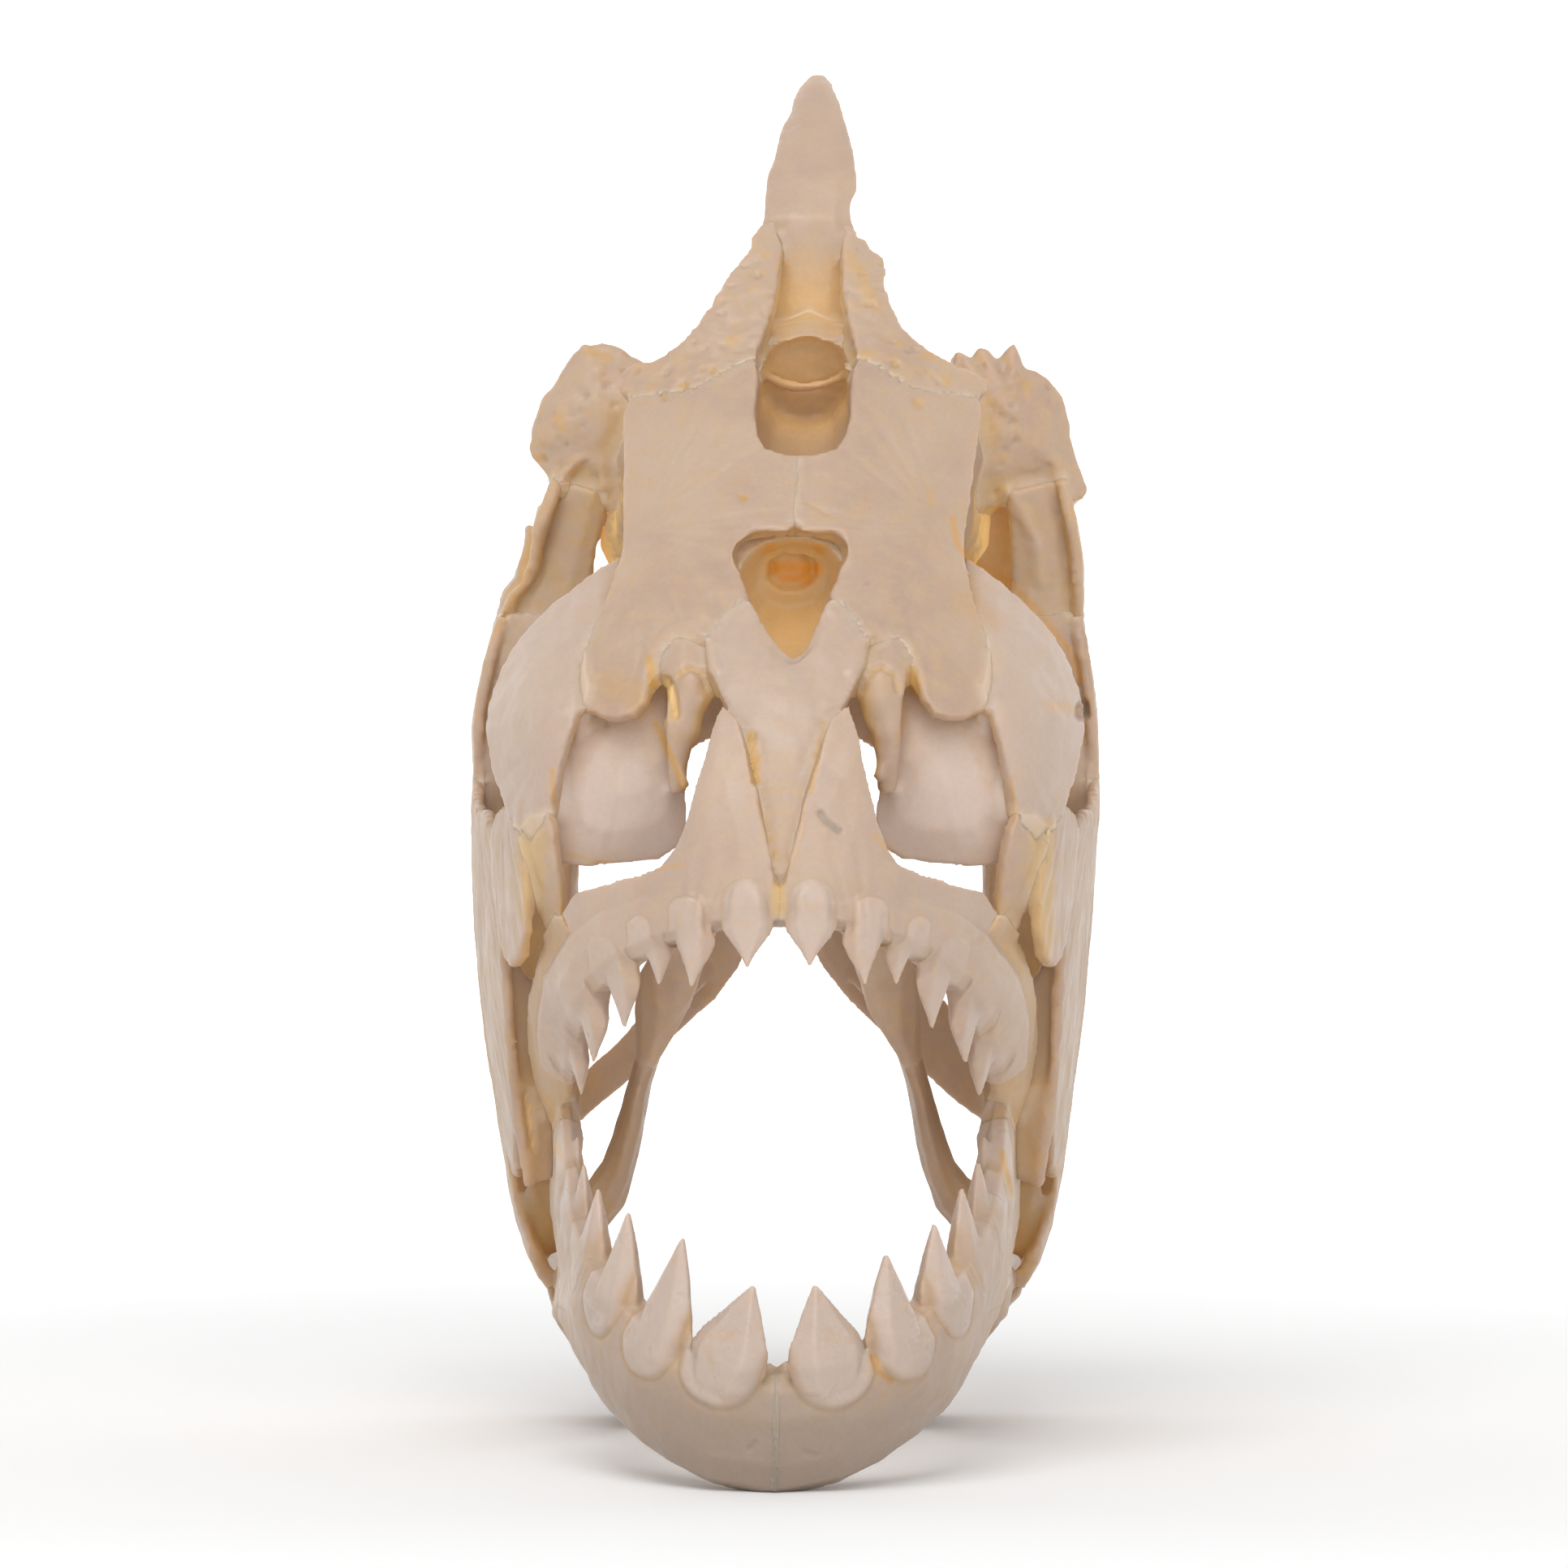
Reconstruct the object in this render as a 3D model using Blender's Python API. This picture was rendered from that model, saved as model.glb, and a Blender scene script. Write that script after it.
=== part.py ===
"""Life-size skull of a large red-bellied piranha, jaws agape, resting on its chin and gill covers.

Sizes in the tables below are millimetres: x to the animal's left, y backwards from the chin, z up
from the surface it rests on. Meshes are made in metres. Bones of a pair are built on the left and
mirrored, and the whole skull leans a little to one side as it rises, like the real one.
"""

import math

import bmesh
import bpy
import numpy as np
from mathutils import Matrix

MM = 0.001
GAP = 0.32
MIDLINE = 0.16
REST_LEVEL = 0.0
ORIGIN_BACK = 36.9
# How far from flat faces may be to merge, the first that leaves the body closed, and the share of
# its volume that it may lose or gain by that.
FLAT_ANGLES = tuple(math.radians(4.6 - 0.2 * step) for step in range(22))
MERGE_LOSS = 0.0018
SIDES = (("left", 1.0), ("right", -1.0))

BONE = ("bone", (0.80, 0.71, 0.60), 0.45)
DEEP_BONE = ("deep_bone", (0.74, 0.60, 0.42), 0.5)
TOOTH_BONE = ("tooth_bone", (0.84, 0.76, 0.67), 0.35)

# Half width of the head at each height, and its share of that at each depth.
HEAD_WIDTH = ((-4, 7.4), (0, 9.6), (2, 11.0), (5.7, 13.6), (8.3, 15.4), (10.8, 17.1), (13.9, 18.3),
              (16.7, 18.9), (21.7, 19.7), (27.4, 20.5), (36, 21.25), (46, 21.5), (51.6, 20.8),
              (55.2, 20.0), (58.9, 19.2), (62.2, 18.4), (68, 16.4), (75, 13.0))
DEPTH_SHARE = ((10, 0.60), (16, 0.74), (22, 0.84), (28, 0.91), (36, 0.97), (46, 1.0), (55, 1.0),
               (63, 0.965), (70, 0.90), (78, 0.80))

# Sideways lean of the midline at each height.
LEAN = ((0, -0.65), (8, -0.45), (38, -0.3), (55, 0.3), (67.5, 1.15), (80, 1.85), (93.5, 2.4))

# Depth of the skull's front profile at each height, on the midline.
PROFILE = ((36, 6.0), (40, 7.2), (44, 9.2), (49, 12.3), (54, 16.6), (60, 22.2), (66, 27.8), (72, 33.4),
           (78, 39.0), (84, 44.8), (90, 50.6), (95, 55.4))


def clear_scene():
    for found in list(bpy.data.objects):
        bpy.data.objects.remove(found)
    for spare in list(bpy.data.meshes):
        bpy.data.meshes.remove(spare)


def material(kind):
    name, colour, roughness = kind
    made = bpy.data.materials.get(name)
    if made is None:
        made = bpy.data.materials.new(name)
        made.use_nodes = True
        shader = made.node_tree.nodes["Principled BSDF"]
        shader.inputs["Base Color"].default_value = (*colour, 1.0)
        shader.inputs["Roughness"].default_value = roughness
        shader.inputs["Metallic"].default_value = 0.0
    return made


def curve_through(rows, count, closed=False):
    """Evenly spread rows on a Catmull-Rom curve through the given ones, whatever numbers a row holds."""
    rows = np.array(rows, float)
    last = len(rows) if closed else len(rows) - 1
    if closed:
        around = np.vstack([rows[-1], rows, rows[0], rows[1]])
    else:
        around = np.vstack([2 * rows[0] - rows[1], rows, 2 * rows[-1] - rows[-2]])

    def at(t):
        k = np.minimum(t.astype(int), last - 1)
        u = (t - k)[:, None]
        a, b, c, d = (around[k + i] for i in range(4))
        return 0.5 * (2 * b + (c - a) * u + (2 * a - 5 * b + 4 * c - d) * u**2
                      + (3 * b - a - 3 * c + d) * u**3)

    fine_t = np.linspace(0, last, 40 * last + 1)
    fine = at(fine_t)
    steps = np.linalg.norm(np.diff(fine[:, :3], axis=0), axis=1)
    run = np.concatenate([[0], np.cumsum(steps)])
    wanted = np.linspace(0, run[-1], count + 1)[:-1] if closed else np.linspace(0, run[-1], count)
    return at(np.interp(wanted, run, fine_t))


def along(pairs, value):
    """A smooth function of one number through (number, value) pairs."""
    known, heights = np.array(pairs, float).T
    slopes = np.gradient(heights, known)
    value = np.clip(value, known[0], known[-1])
    k = np.clip(np.searchsorted(known, value, side="right") - 1, 0, len(known) - 2)
    span = known[k + 1] - known[k]
    u = (value - known[k]) / span
    return ((2 * u**3 - 3 * u**2 + 1) * heights[k] + (u**3 - 2 * u**2 + u) * span * slopes[k]
            + (3 * u**2 - 2 * u**3) * heights[k + 1] + (u**3 - u**2) * span * slopes[k + 1])


def unit(vectors):
    return vectors / np.maximum(np.linalg.norm(vectors, axis=-1, keepdims=True), 1e-9)


def head_side(y, z):
    """Half width of the head's outer skin of bone at a depth and height."""
    return along(HEAD_WIDTH, z) * along(DEPTH_SHARE, y)


def profile(z):
    return along(PROFILE, z)


def mesh_object(name, points, faces, kind, side=1.0):
    """An object from points in millimetres, mirrored to the animal's right when side is negative."""
    points = np.array(points, float) * (side, 1, 1)
    points[:, 0] += along(LEAN, points[:, 2])
    points = (points - (0, ORIGIN_BACK, 0)) * MM
    if side < 0:
        faces = [face[::-1] for face in faces]
    mesh = bpy.data.meshes.new(name)
    mesh.from_pydata([tuple(p) for p in points], [], faces)
    mesh.materials.append(material(kind))
    mesh.shade_smooth()
    made = bpy.data.objects.new(name, mesh)
    bpy.context.scene.collection.objects.link(made)
    form = bmesh.new()
    form.from_mesh(mesh)
    bmesh.ops.recalc_face_normals(form, faces=form.faces)
    bmesh.ops.triangulate(form, faces=form.faces)
    form.to_mesh(mesh)
    form.free()
    return made


def loft(name, rings, kind, side=1.0, ends=None):
    """A closed body through rings of equal count, its two ends drawn to their middles or given points."""
    rings = [np.array(ring, float) for ring in rings]
    count = len(rings[0])
    first, final = (rings[0].mean(0), rings[-1].mean(0)) if ends is None else ends
    points = [first, *np.concatenate(rings), final]
    last = len(points) - 1
    faces = []
    for k in range(count):
        after = (k + 1) % count
        faces.append((0, 1 + after, 1 + k))
        faces.append((last, last - count + k, last - count + after))
        for r in range(len(rings) - 1):
            low, high = 1 + r * count, 1 + (r + 1) * count
            faces.append((low + k, low + after, high + after, high + k))
    return mesh_object(name, points, faces, kind, side)


def bar(name, rows, kind, stations=12, around=10, side=1.0, squareness=2.3):
    """A curved bone of oval section. A row is x, y, z, width, thickness and the way the width points."""
    rows = curve_through(rows, stations)
    centre, width, thick = rows[:, :3], rows[:, 3:4], rows[:, 4:5]
    tangent = unit(np.gradient(centre, axis=0))
    across = rows[:, 5:8]
    across = unit(across - (across * tangent).sum(1, keepdims=True) * tangent)
    through = np.cross(tangent, across)
    rings = []
    for k in range(stations):
        ring = []
        for n in range(around):
            turn = 2 * math.pi * (n + 0.5) / around
            c, s = math.cos(turn), math.sin(turn)
            c = math.copysign(abs(c) ** (2 / squareness), c)
            s = math.copysign(abs(s) ** (2 / squareness), s)
            ring.append(centre[k] + across[k] * c * width[k] / 2 + through[k] * s * thick[k] / 2)
        rings.append(ring)
    return loft(name, rings, kind, side)


def plate(name, outline, drape, kind, thickness=0.9, rim=0.6, rings=3, around=20, side=1.0,
          middle=None, facing="side"):
    """A thin curved bone: a closed outline laid on a surface, thickest at its middle.

    Facing side, the outline is (y, z) and drape gives x. Facing front, it is (x, z) and gives y.
    The rim's thickness is one number, or a function of the outline's two.
    """
    outline = curve_through(outline, around, closed=True)
    middle = outline.mean(0) if middle is None else np.array(middle, float)
    edge = rim(outline[:, 0], outline[:, 1])[:, None] if callable(rim) else rim

    def place(flat):
        over = drape(flat[:, 0], flat[:, 1])
        columns = (over, flat[:, 0], flat[:, 1]) if facing == "side" else (flat[:, 0], over, flat[:, 1])
        return np.stack(columns, 1)

    def faced(flat):
        step = 0.05
        one = place(flat + (step, 0)) - place(flat - (step, 0))
        two = place(flat + (0, step)) - place(flat - (0, step))
        normal = unit(np.cross(one, two))
        outward = normal[:, 0] if facing == "side" else -normal[:, 1]
        return normal * np.sign(outward)[:, None]

    shares = [(k + 0.5) / (rings - 0.5) for k in range(rings)]
    outer, inner = [], []
    for share in shares:
        flat = middle + (outline - middle) * share
        half = (edge + (thickness - edge) * (1 - share**2)) / 2
        outer.append(place(flat) + faced(flat) * half)
        inner.append(place(flat) - faced(flat) * half)
    core, up = place(middle[None])[0], faced(middle[None])[0] * thickness / 2
    return loft(name, outer + inner[::-1], kind, side, ends=(core + up, core - up))


def midline_cutter(side):
    """A block that fills the other half of the head, with half a suture's gap at the midline."""
    corners = ((-30, -20), (MIDLINE, -20), (MIDLINE, 100), (-30, 100))
    rings = [[(x, y, height) for x, y in corners] for height in range(-10, 101, 10)]
    return loft("midline", rings, BONE, side)


def box(name, low, high):
    """A cutter block between two corners."""
    mesh = bpy.data.meshes.new(name)
    form = bmesh.new()
    bmesh.ops.create_cube(form, size=1.0)
    form.to_mesh(mesh)
    form.free()
    made = bpy.data.objects.new(name, mesh)
    bpy.context.scene.collection.objects.link(made)
    made.scale = [(b - a) * MM for a, b in zip(low, high)]
    middle = [(a + b) / 2 for a, b in zip(low, high)]
    made.location = (middle[0] * MM, (middle[1] - ORIGIN_BACK) * MM, middle[2] * MM)
    return settled(made)


def settled(made):
    """The object's scale and place moved into its mesh."""
    bpy.context.view_layer.update()
    made.data.transform(made.matrix_world)
    made.matrix_world.identity()
    return made


def largest_surface(mesh):
    """Deletes all but the largest closed surface of a mesh."""
    form = bmesh.new()
    form.from_mesh(mesh)
    bmesh.ops.remove_doubles(form, verts=form.verts, dist=1e-7)
    bmesh.ops.triangulate(form, faces=form.faces)
    unseen, groups = set(form.faces), []
    while unseen:
        group, front = set(), [unseen.pop()]
        while front:
            face = front.pop()
            group.add(face)
            near = {other for edge in face.edges for other in edge.link_faces} & unseen
            unseen -= near
            front.extend(near)
        groups.append(group)
    groups.sort(key=lambda g: -sum(face.calc_area() for face in g))
    bmesh.ops.delete(form, geom=[face for g in groups[1:] for face in g], context="FACES")
    form.to_mesh(mesh)
    form.free()


def combine(body, others, operation, keep_others=False):
    """Joins or cuts a body by a collection of other closed meshes, applied at once."""
    if not others:
        return body
    group = bpy.data.collections.new("pieces")
    for other in others:
        group.objects.link(other)
    modifier = body.modifiers.new(operation.lower(), "BOOLEAN")
    modifier.operation = operation
    modifier.operand_type = "COLLECTION"
    modifier.collection = group
    modifier.solver = "MANIFOLD"
    bpy.context.view_layer.update()
    graph = bpy.context.evaluated_depsgraph_get()
    made = bpy.data.meshes.new_from_object(body.evaluated_get(graph))
    body.modifiers.clear()
    body.data = made
    largest_surface(made)
    bpy.data.collections.remove(group)
    if not keep_others:
        for other in others:
            bpy.data.objects.remove(other)
    return body


def fused(pieces, name):
    body = combine(pieces[0], pieces[1:], "UNION")
    body.name = name
    return body


def swollen(original, by):
    """A copy of a bone pushed out along its normals, for cutting a clear gap round it."""
    mesh = original.data.copy()
    form = bmesh.new()
    form.from_mesh(mesh)
    form.normal_update()
    moved = [(v, v.co + v.normal * by * MM) for v in form.verts]
    for vert, place in moved:
        vert.co = place
    form.to_mesh(mesh)
    form.free()
    made = bpy.data.objects.new(original.name + "_swollen", mesh)
    bpy.context.scene.collection.objects.link(made)
    return made


def bounds(made):
    places = np.array([v.co for v in made.data.vertices])
    return places.min(0), places.max(0)


def near(one, other, margin):
    (low_a, high_a), (low_b, high_b) = bounds(one), bounds(other)
    return bool((low_a - margin < high_b).all() and (low_b - margin < high_a).all())


def part_from(bone, neighbours):
    """Cuts a bone clear of the finished ones that its box meets."""
    cutters = [swollen(n, GAP) for n in neighbours if near(bone, n, GAP * MM)]
    if cutters:
        combine(bone, cutters, "DIFFERENCE")
        merge_flats(bone.data)


def merge_flats(mesh):
    """Merges faces that lie nearly in one plane, so that cuts leave few small ones."""
    for angle in FLAT_ANGLES:
        form = bmesh.new()
        form.from_mesh(mesh)
        volume = form.calc_volume()
        bmesh.ops.dissolve_degenerate(form, edges=form.edges, dist=2e-6)
        bmesh.ops.dissolve_limit(form, angle_limit=angle, verts=form.verts, edges=form.edges)
        bmesh.ops.triangulate(form, faces=form.faces)
        good = all(edge.is_manifold for edge in form.edges)
        good = good and abs(form.calc_volume() - volume) < MERGE_LOSS * volume
        if good:
            form.to_mesh(mesh)
        form.free()
        if good:
            break


# Share of a tooth's height above its root, then of its width and thickness.
TOOTH_LEVELS = ((0.0, 1.0, 1.0), (0.25, 0.88, 0.8), (0.6, 0.5, 0.55), (0.97, 0.05, 0.14))
# Share of how far it is sunk, then as above.
TOOTH_ROOT = ((-1.0, 0.4, 0.5), (-0.55, 0.86, 0.9))


def tooth(name, root, tip, along_jaw, width, thick, side, sink):
    """A flat triangular tooth with a leaning point, its root sunk in the jaw."""
    root, tip = np.array(root, float), np.array(tip, float)
    height = np.linalg.norm(tip - root)
    rise = (tip - root) / height
    along_jaw = unit(np.array(along_jaw, float))
    along_jaw = unit(along_jaw - rise * (along_jaw @ rise))
    out = np.cross(along_jaw, rise)
    levels = [(share * sink / height, wide, deep) for share, wide, deep in TOOTH_ROOT]
    levels += TOOTH_LEVELS
    rings = []
    for share, wide, deep in levels:
        ring = []
        for n in range(6):
            turn = math.pi * n / 3
            ring.append(root + rise * share * height + along_jaw * math.cos(turn) * wide * width / 2
                        + out * math.sin(turn) * deep * thick / 2)
        rings.append(ring)
    return loft(name, rings, TOOTH_BONE, side)


# Neurocranium

FRONTAL = ((0.16, 64.9), (1.6, 65.0), (2.7, 66.0), (3.1, 68.2), (3.2, 71.6), (5.0, 70.8), (6.8, 69.6),
           (9.2, 69.2), (11.5, 68.9), (11.4, 66.0), (11.0, 62.6), (10.9, 58.6), (11.4, 56.2),
           (12.4, 53.4), (13.0, 50.6), (12.6, 48.6), (11.0, 48.0), (9.3, 48.4), (8.4, 50.2),
           (7.6, 52.4), (6.4, 53.0), (5.2, 52.5), (4.0, 52.6), (3.0, 53.8), (2.6, 55.4), (3.0, 56.6),
           (3.3, 57.8), (3.2, 59.2), (2.4, 59.9), (0.3, 59.7), (0.16, 60.2), (0.16, 62.5))
FRONTAL_MIDDLE = (7.0, 62.3)
PARIETAL = ((3.3, 72.0), (5.1, 71.1), (6.9, 69.9), (9.2, 69.5), (11.7, 69.3), (12.0, 70.9),
            (11.0, 71.6), (9.0, 71.9), (6.3, 74.7), (4.8, 78.0), (3.4, 81.0), (2.4, 81.8), (2.0, 79.6),
            (2.3, 76.0), (2.9, 73.6))
# The animal's left one is narrower above and carries a small knob.
PARIETAL_KNOBBED = ((3.3, 72.0), (5.1, 71.1), (6.9, 69.9), (9.2, 69.5), (11.7, 69.3), (11.8, 70.5),
                    (9.7, 71.5), (7.1, 73.0), (5.7, 74.8), (4.7, 77.0), (5.0, 78.4), (4.3, 79.8),
                    (3.3, 80.9), (2.4, 81.7), (2.0, 79.6), (2.3, 76.0), (2.9, 73.6))
PARIETAL_MIDDLE = (5.4, 71.9)
ROOF_BOW = 0.024
ROOF_THICKNESS = 2.2
ROOF_RIM = 1.9
# How much thinner the flange in front of the eye is at its edge.
FLANGE_THINNING = 1.0
SHOULDER_SPIKED = ((9.9, 72.4), (10.3, 73.6), (11.0, 72.6), (11.9, 73.8), (12.9, 72.7), (14.0, 74.0),
                   (14.8, 72.3), (16.1, 71.9), (17.6, 70.2), (18.2, 68.0), (18.7, 66.0), (19.7, 63.5),
                   (18.4, 63.3), (17.0, 63.8), (14.6, 63.0), (11.8, 62.6), (9.8, 64.2), (9.6, 68.0),
                   (9.6, 70.6))
SHOULDER_ROUND = ((10.6, 72.2), (12.0, 73.0), (12.8, 73.8), (14.1, 74.3), (15.6, 73.4), (16.7, 71.6),
                  (17.4, 69.0), (18.4, 66.9), (17.2, 65.0), (15.8, 63.8), (13.4, 62.9), (11.4, 62.6),
                  (9.8, 64.2), (9.6, 68.0), (9.6, 70.4))
BRAINCASE = (
    (31.0, ((0, 67.6), (5, 67.2), (9.0, 66.6), (9.2, 64.8), (5.0, 63.2), (0, 62.6))),
    (35.0, ((0, 72.5), (5, 71.4), (10.0, 69.4), (10.4, 65.2), (5.4, 61.0), (0, 59.4))),
    (40.0, ((0, 75.4), (4.8, 74.0), (10.8, 71.0), (11.9, 65.6), (8.2, 56.6), (0, 51.0))),
    (45.0, ((0, 77.0), (4.0, 75.4), (10.2, 72.0), (13.4, 65.0), (12.7, 58.6), (6.4, 51.4), (0, 46.8))),
    (52.0, ((0, 76.0), (3.6, 74.6), (8.8, 70.8), (12.4, 65.6), (10.6, 57.4), (5.6, 51.0), (0, 46.6))),
    (59.0, ((0, 72.0), (2.6, 70.0), (6.0, 65.4), (8.2, 61.6), (6.4, 54.4), (0, 47.6))),
    (63.0, ((0, 61.0), (1.8, 60.4), (3.4, 58.6), (4.2, 56.0), (3.2, 52.0), (0, 49.4))),
)
BRAINCASE_SPUR = (
    (6.5, 52.0, 69.0, 5.0, 4.0, 1, 0, 0.4),
    (9.0, 57.5, 67.4, 4.0, 2.8, 1, 0, 0.4),
    (10.4, 63.0, 65.2, 1.8, 1.4, 1, 0, 0.4),
)
REAR_BOWL = (
    (0, 26.0, 63.4, 6.2, 4.0, 1, 0, 0),
    (0, 31.0, 67.0, 6.4, 7.0, 1, 0, 0),
    (0, 36.0, 69.6, 6.6, 8.6, 1, 0, 0),
    (0, 40.4, 71.4, 6.0, 6.0, 1, 0, 0),
)
FORAMEN_MAGNUM = (
    (0, 51.0, 58.6, 3.6, 3.4, 1, 0, 0),
    (0, 58.0, 56.4, 4.4, 4.4, 1, 0, 0),
    (0, 67.0, 55.0, 4.0, 4.0, 1, 0, 0),
)
REAR_FOSSA = (
    (4.6, 50.0, 65.6, 4.0, 3.6, 1, 0, -0.4),
    (5.4, 56.0, 64.4, 4.4, 4.6, 1, 0, -0.4),
    (6.6, 64.0, 63.2, 5.0, 6.0, 1, 0, -0.4),
)
ORBITOSPHENOID = (
    (0, 20.4, 53.4, 8.4, 8.4, 1, 0, 0),
    (0, 24.0, 56.0, 10.2, 11.0, 1, 0, 0),
    (0, 28.0, 58.4, 10.0, 10.4, 1, 0, 0),
    (0, 32.4, 61.0, 9.0, 8.4, 1, 0, 0),
)
FONTANEL_BOWL = (
    (0, 15.4, 54.0, 7.2, 9.4, 1, 0, 0),
    (0, 20.0, 55.8, 7.4, 9.4, 1, 0, 0),
    (0, 23.2, 56.8, 7.0, 8.2, 1, 0, 0),
    (0, 26.4, 57.4, 5.0, 4.0, 1, 0, 0),
)
OLFACTORY_TUNNEL = (
    (0, 23.0, 55.8, 3.5, 2.4, 1, 0, 0),
    (0, 30.0, 60.0, 3.4, 2.6, 1, 0, 0),
    (0, 36.0, 65.0, 4.0, 4.0, 1, 0, 0),
)
SEPTUM = ((17, 49), (18, 41), (24, 38.6), (34, 40.0), (43, 43.4), (43, 54), (37, 60), (28, 58), (22, 53))
PARASPHENOID = (
    (0, 11.0, 39.6, 5.6, 2.6, 1, 0, 0),
    (0, 16.0, 38.4, 3.6, 2.4, 1, 0, 0),
    (0, 28.0, 37.8, 2.6, 2.2, 1, 0, 0),
    (0, 42.0, 41.2, 3.4, 2.6, 1, 0, 0),
    (0, 56.0, 46.4, 5.4, 3.4, 1, 0, 0),
    (0, 63.4, 49.6, 5.0, 4.4, 1, 0, 0),
)
ETHMOID_STEM = (
    (0, 11.6, 39.2, 4.4, 4.4, 1, 0, 0),
    (0, 13.2, 43.4, 4.6, 5.4, 1, 0, 0),
    (0, 15.6, 47.0, 5.2, 5.4, 1, 0, 0),
    (0, 18.4, 49.8, 5.6, 3.0, 1, 0, 0),
)


def both_sides(half):
    """A half outline that starts and ends on the midline, closed by its mirror image."""
    half = list(half)
    inside = [(-x, z) for x, z in half[1:] if x > 1e-6]
    return half + inside[::-1]


def roof_depth(x, z):
    return profile(z) + ROOF_BOW * x**2 + 1.1


def frontal_rim(x, z):
    """Thickness of a frontal's edge, which thins over its lower outer corner."""
    return ROOF_RIM - FLANGE_THINNING * np.clip((x - 6) / 3, 0, 1) * np.clip((57 - z) / 5, 0, 1)


def shoulder_depth(x, z):
    return 44.2 + 0.12 * (x - 10) + 0.1 * (z - 66)


def braincase():
    rings = []
    for depth, half in BRAINCASE:
        outline = curve_through(both_sides(half), 18, closed=True)
        rings.append([(x, depth, z) for x, z in outline])
    pieces = [loft("braincase", rings, BONE)]
    for _, side in SIDES:
        pieces.append(bar("spur", BRAINCASE_SPUR, BONE, stations=4, around=7, side=side))
    whole = fused(pieces, "braincase")
    cutters = [bar("rear_bowl", REAR_BOWL, DEEP_BONE, stations=6, around=10)]
    cutters.append(bar("foramen_magnum", FORAMEN_MAGNUM, DEEP_BONE, stations=4, around=10))
    for _, side in SIDES:
        cutters.append(bar("fossa", REAR_FOSSA, DEEP_BONE, stations=4, around=10, side=side))
    return combine(whole, cutters, "DIFFERENCE")


def orbitosphenoid():
    """The bony trough behind the front fontanel, and the thin wall between the orbits below it."""
    pieces = [bar("trough", ORBITOSPHENOID, BONE, stations=6, around=12)]
    pieces.append(plate("septum", SEPTUM, lambda y, z: 0 * y, BONE, thickness=1.2, rim=1.2, rings=2,
                        around=16))
    whole = fused(pieces, "orbitosphenoid")
    cutters = [bar("bowl", FONTANEL_BOWL, DEEP_BONE, stations=6, around=12)]
    cutters.append(bar("tunnel", OLFACTORY_TUNNEL, DEEP_BONE, stations=4, around=8))
    return combine(whole, cutters, "DIFFERENCE")


def skull_roof(side_name, side):
    shoulder = SHOULDER_SPIKED if side > 0 else SHOULDER_ROUND
    parietal = PARIETAL_KNOBBED if side > 0 else PARIETAL
    return [
        plate("frontal_" + side_name, FRONTAL, roof_depth, BONE, thickness=ROOF_THICKNESS,
              rim=frontal_rim, rings=4, around=60, side=side, middle=FRONTAL_MIDDLE, facing="front"),
        plate("parietal_" + side_name, parietal, roof_depth, BONE, thickness=ROOF_THICKNESS,
              rim=ROOF_RIM, around=30, side=side, middle=PARIETAL_MIDDLE, facing="front"),
        plate("sphenotic_" + side_name, shoulder, shoulder_depth, BONE, thickness=6.0, rim=2.4, rings=3,
              around=42, side=side, middle=(14.0, 68.6), facing="front"),
    ]


# Height, half width at the front, depth behind the profile, and where the blade ends behind.
CREST_LEVELS = ((71.0, 2.0, 9.0, 59.6), (74.0, 2.5, 7.2, 60.6), (77.4, 2.8, 4.8, 61.2),
                (80.6, 3.1, 2.4, 61.2), (82.6, 3.0, 0.8, 61.0), (85.4, 2.9, 0.3, 60.4),
                (87.8, 2.5, 0.3, 59.6), (89.8, 2.0, 0.5, 58.8), (91.6, 1.5, 0.7, 57.8),
                (92.9, 1.0, 1.0, 57.0), (93.6, 0.45, 1.6, 56.2))
CREST_BLADE = 0.65


def supraoccipital():
    """The tall crest: a broad front edge that thins to a blade behind."""
    rings = []
    for height, half, recess, back in CREST_LEVELS:
        front = float(profile(np.array(height))) + recess
        blade = min(CREST_BLADE, half * 0.8)
        reach = back - front
        left = ((half * 0.5, -0.25), (half, 0.45), (half * 0.95, 0.18 * reach), (half * 0.6, 0.4 * reach),
                (blade, 0.7 * reach), (blade * 0.7, reach))
        ring = [(x, front + dy, height) for x, dy in left]
        ring += [(-x, front + dy, height) for x, dy in left[::-1]]
        rings.append(ring)
    return loft("supraoccipital", rings, BONE)


MESETHMOID = ((0, 37.2), (0.55, 38.2), (1.1, 41.5), (1.9, 45.0), (3.3, 48.0), (4.5, 50.2),
              (5.0, 52.0), (4.2, 53.6), (3.2, 54.9), (2.3, 55.0), (1.5, 53.6), (0.7, 52.3), (0, 51.9))


def mesethmoid():
    pieces = [plate("face", both_sides(MESETHMOID), roof_depth, BONE, thickness=ROOF_THICKNESS,
                    rim=ROOF_RIM, around=30, middle=(0, 47.6), facing="front")]
    pieces.append(bar("stem", ETHMOID_STEM, BONE, stations=6, around=10))
    return fused(pieces, "mesethmoid")


# Snout and orbit

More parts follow.
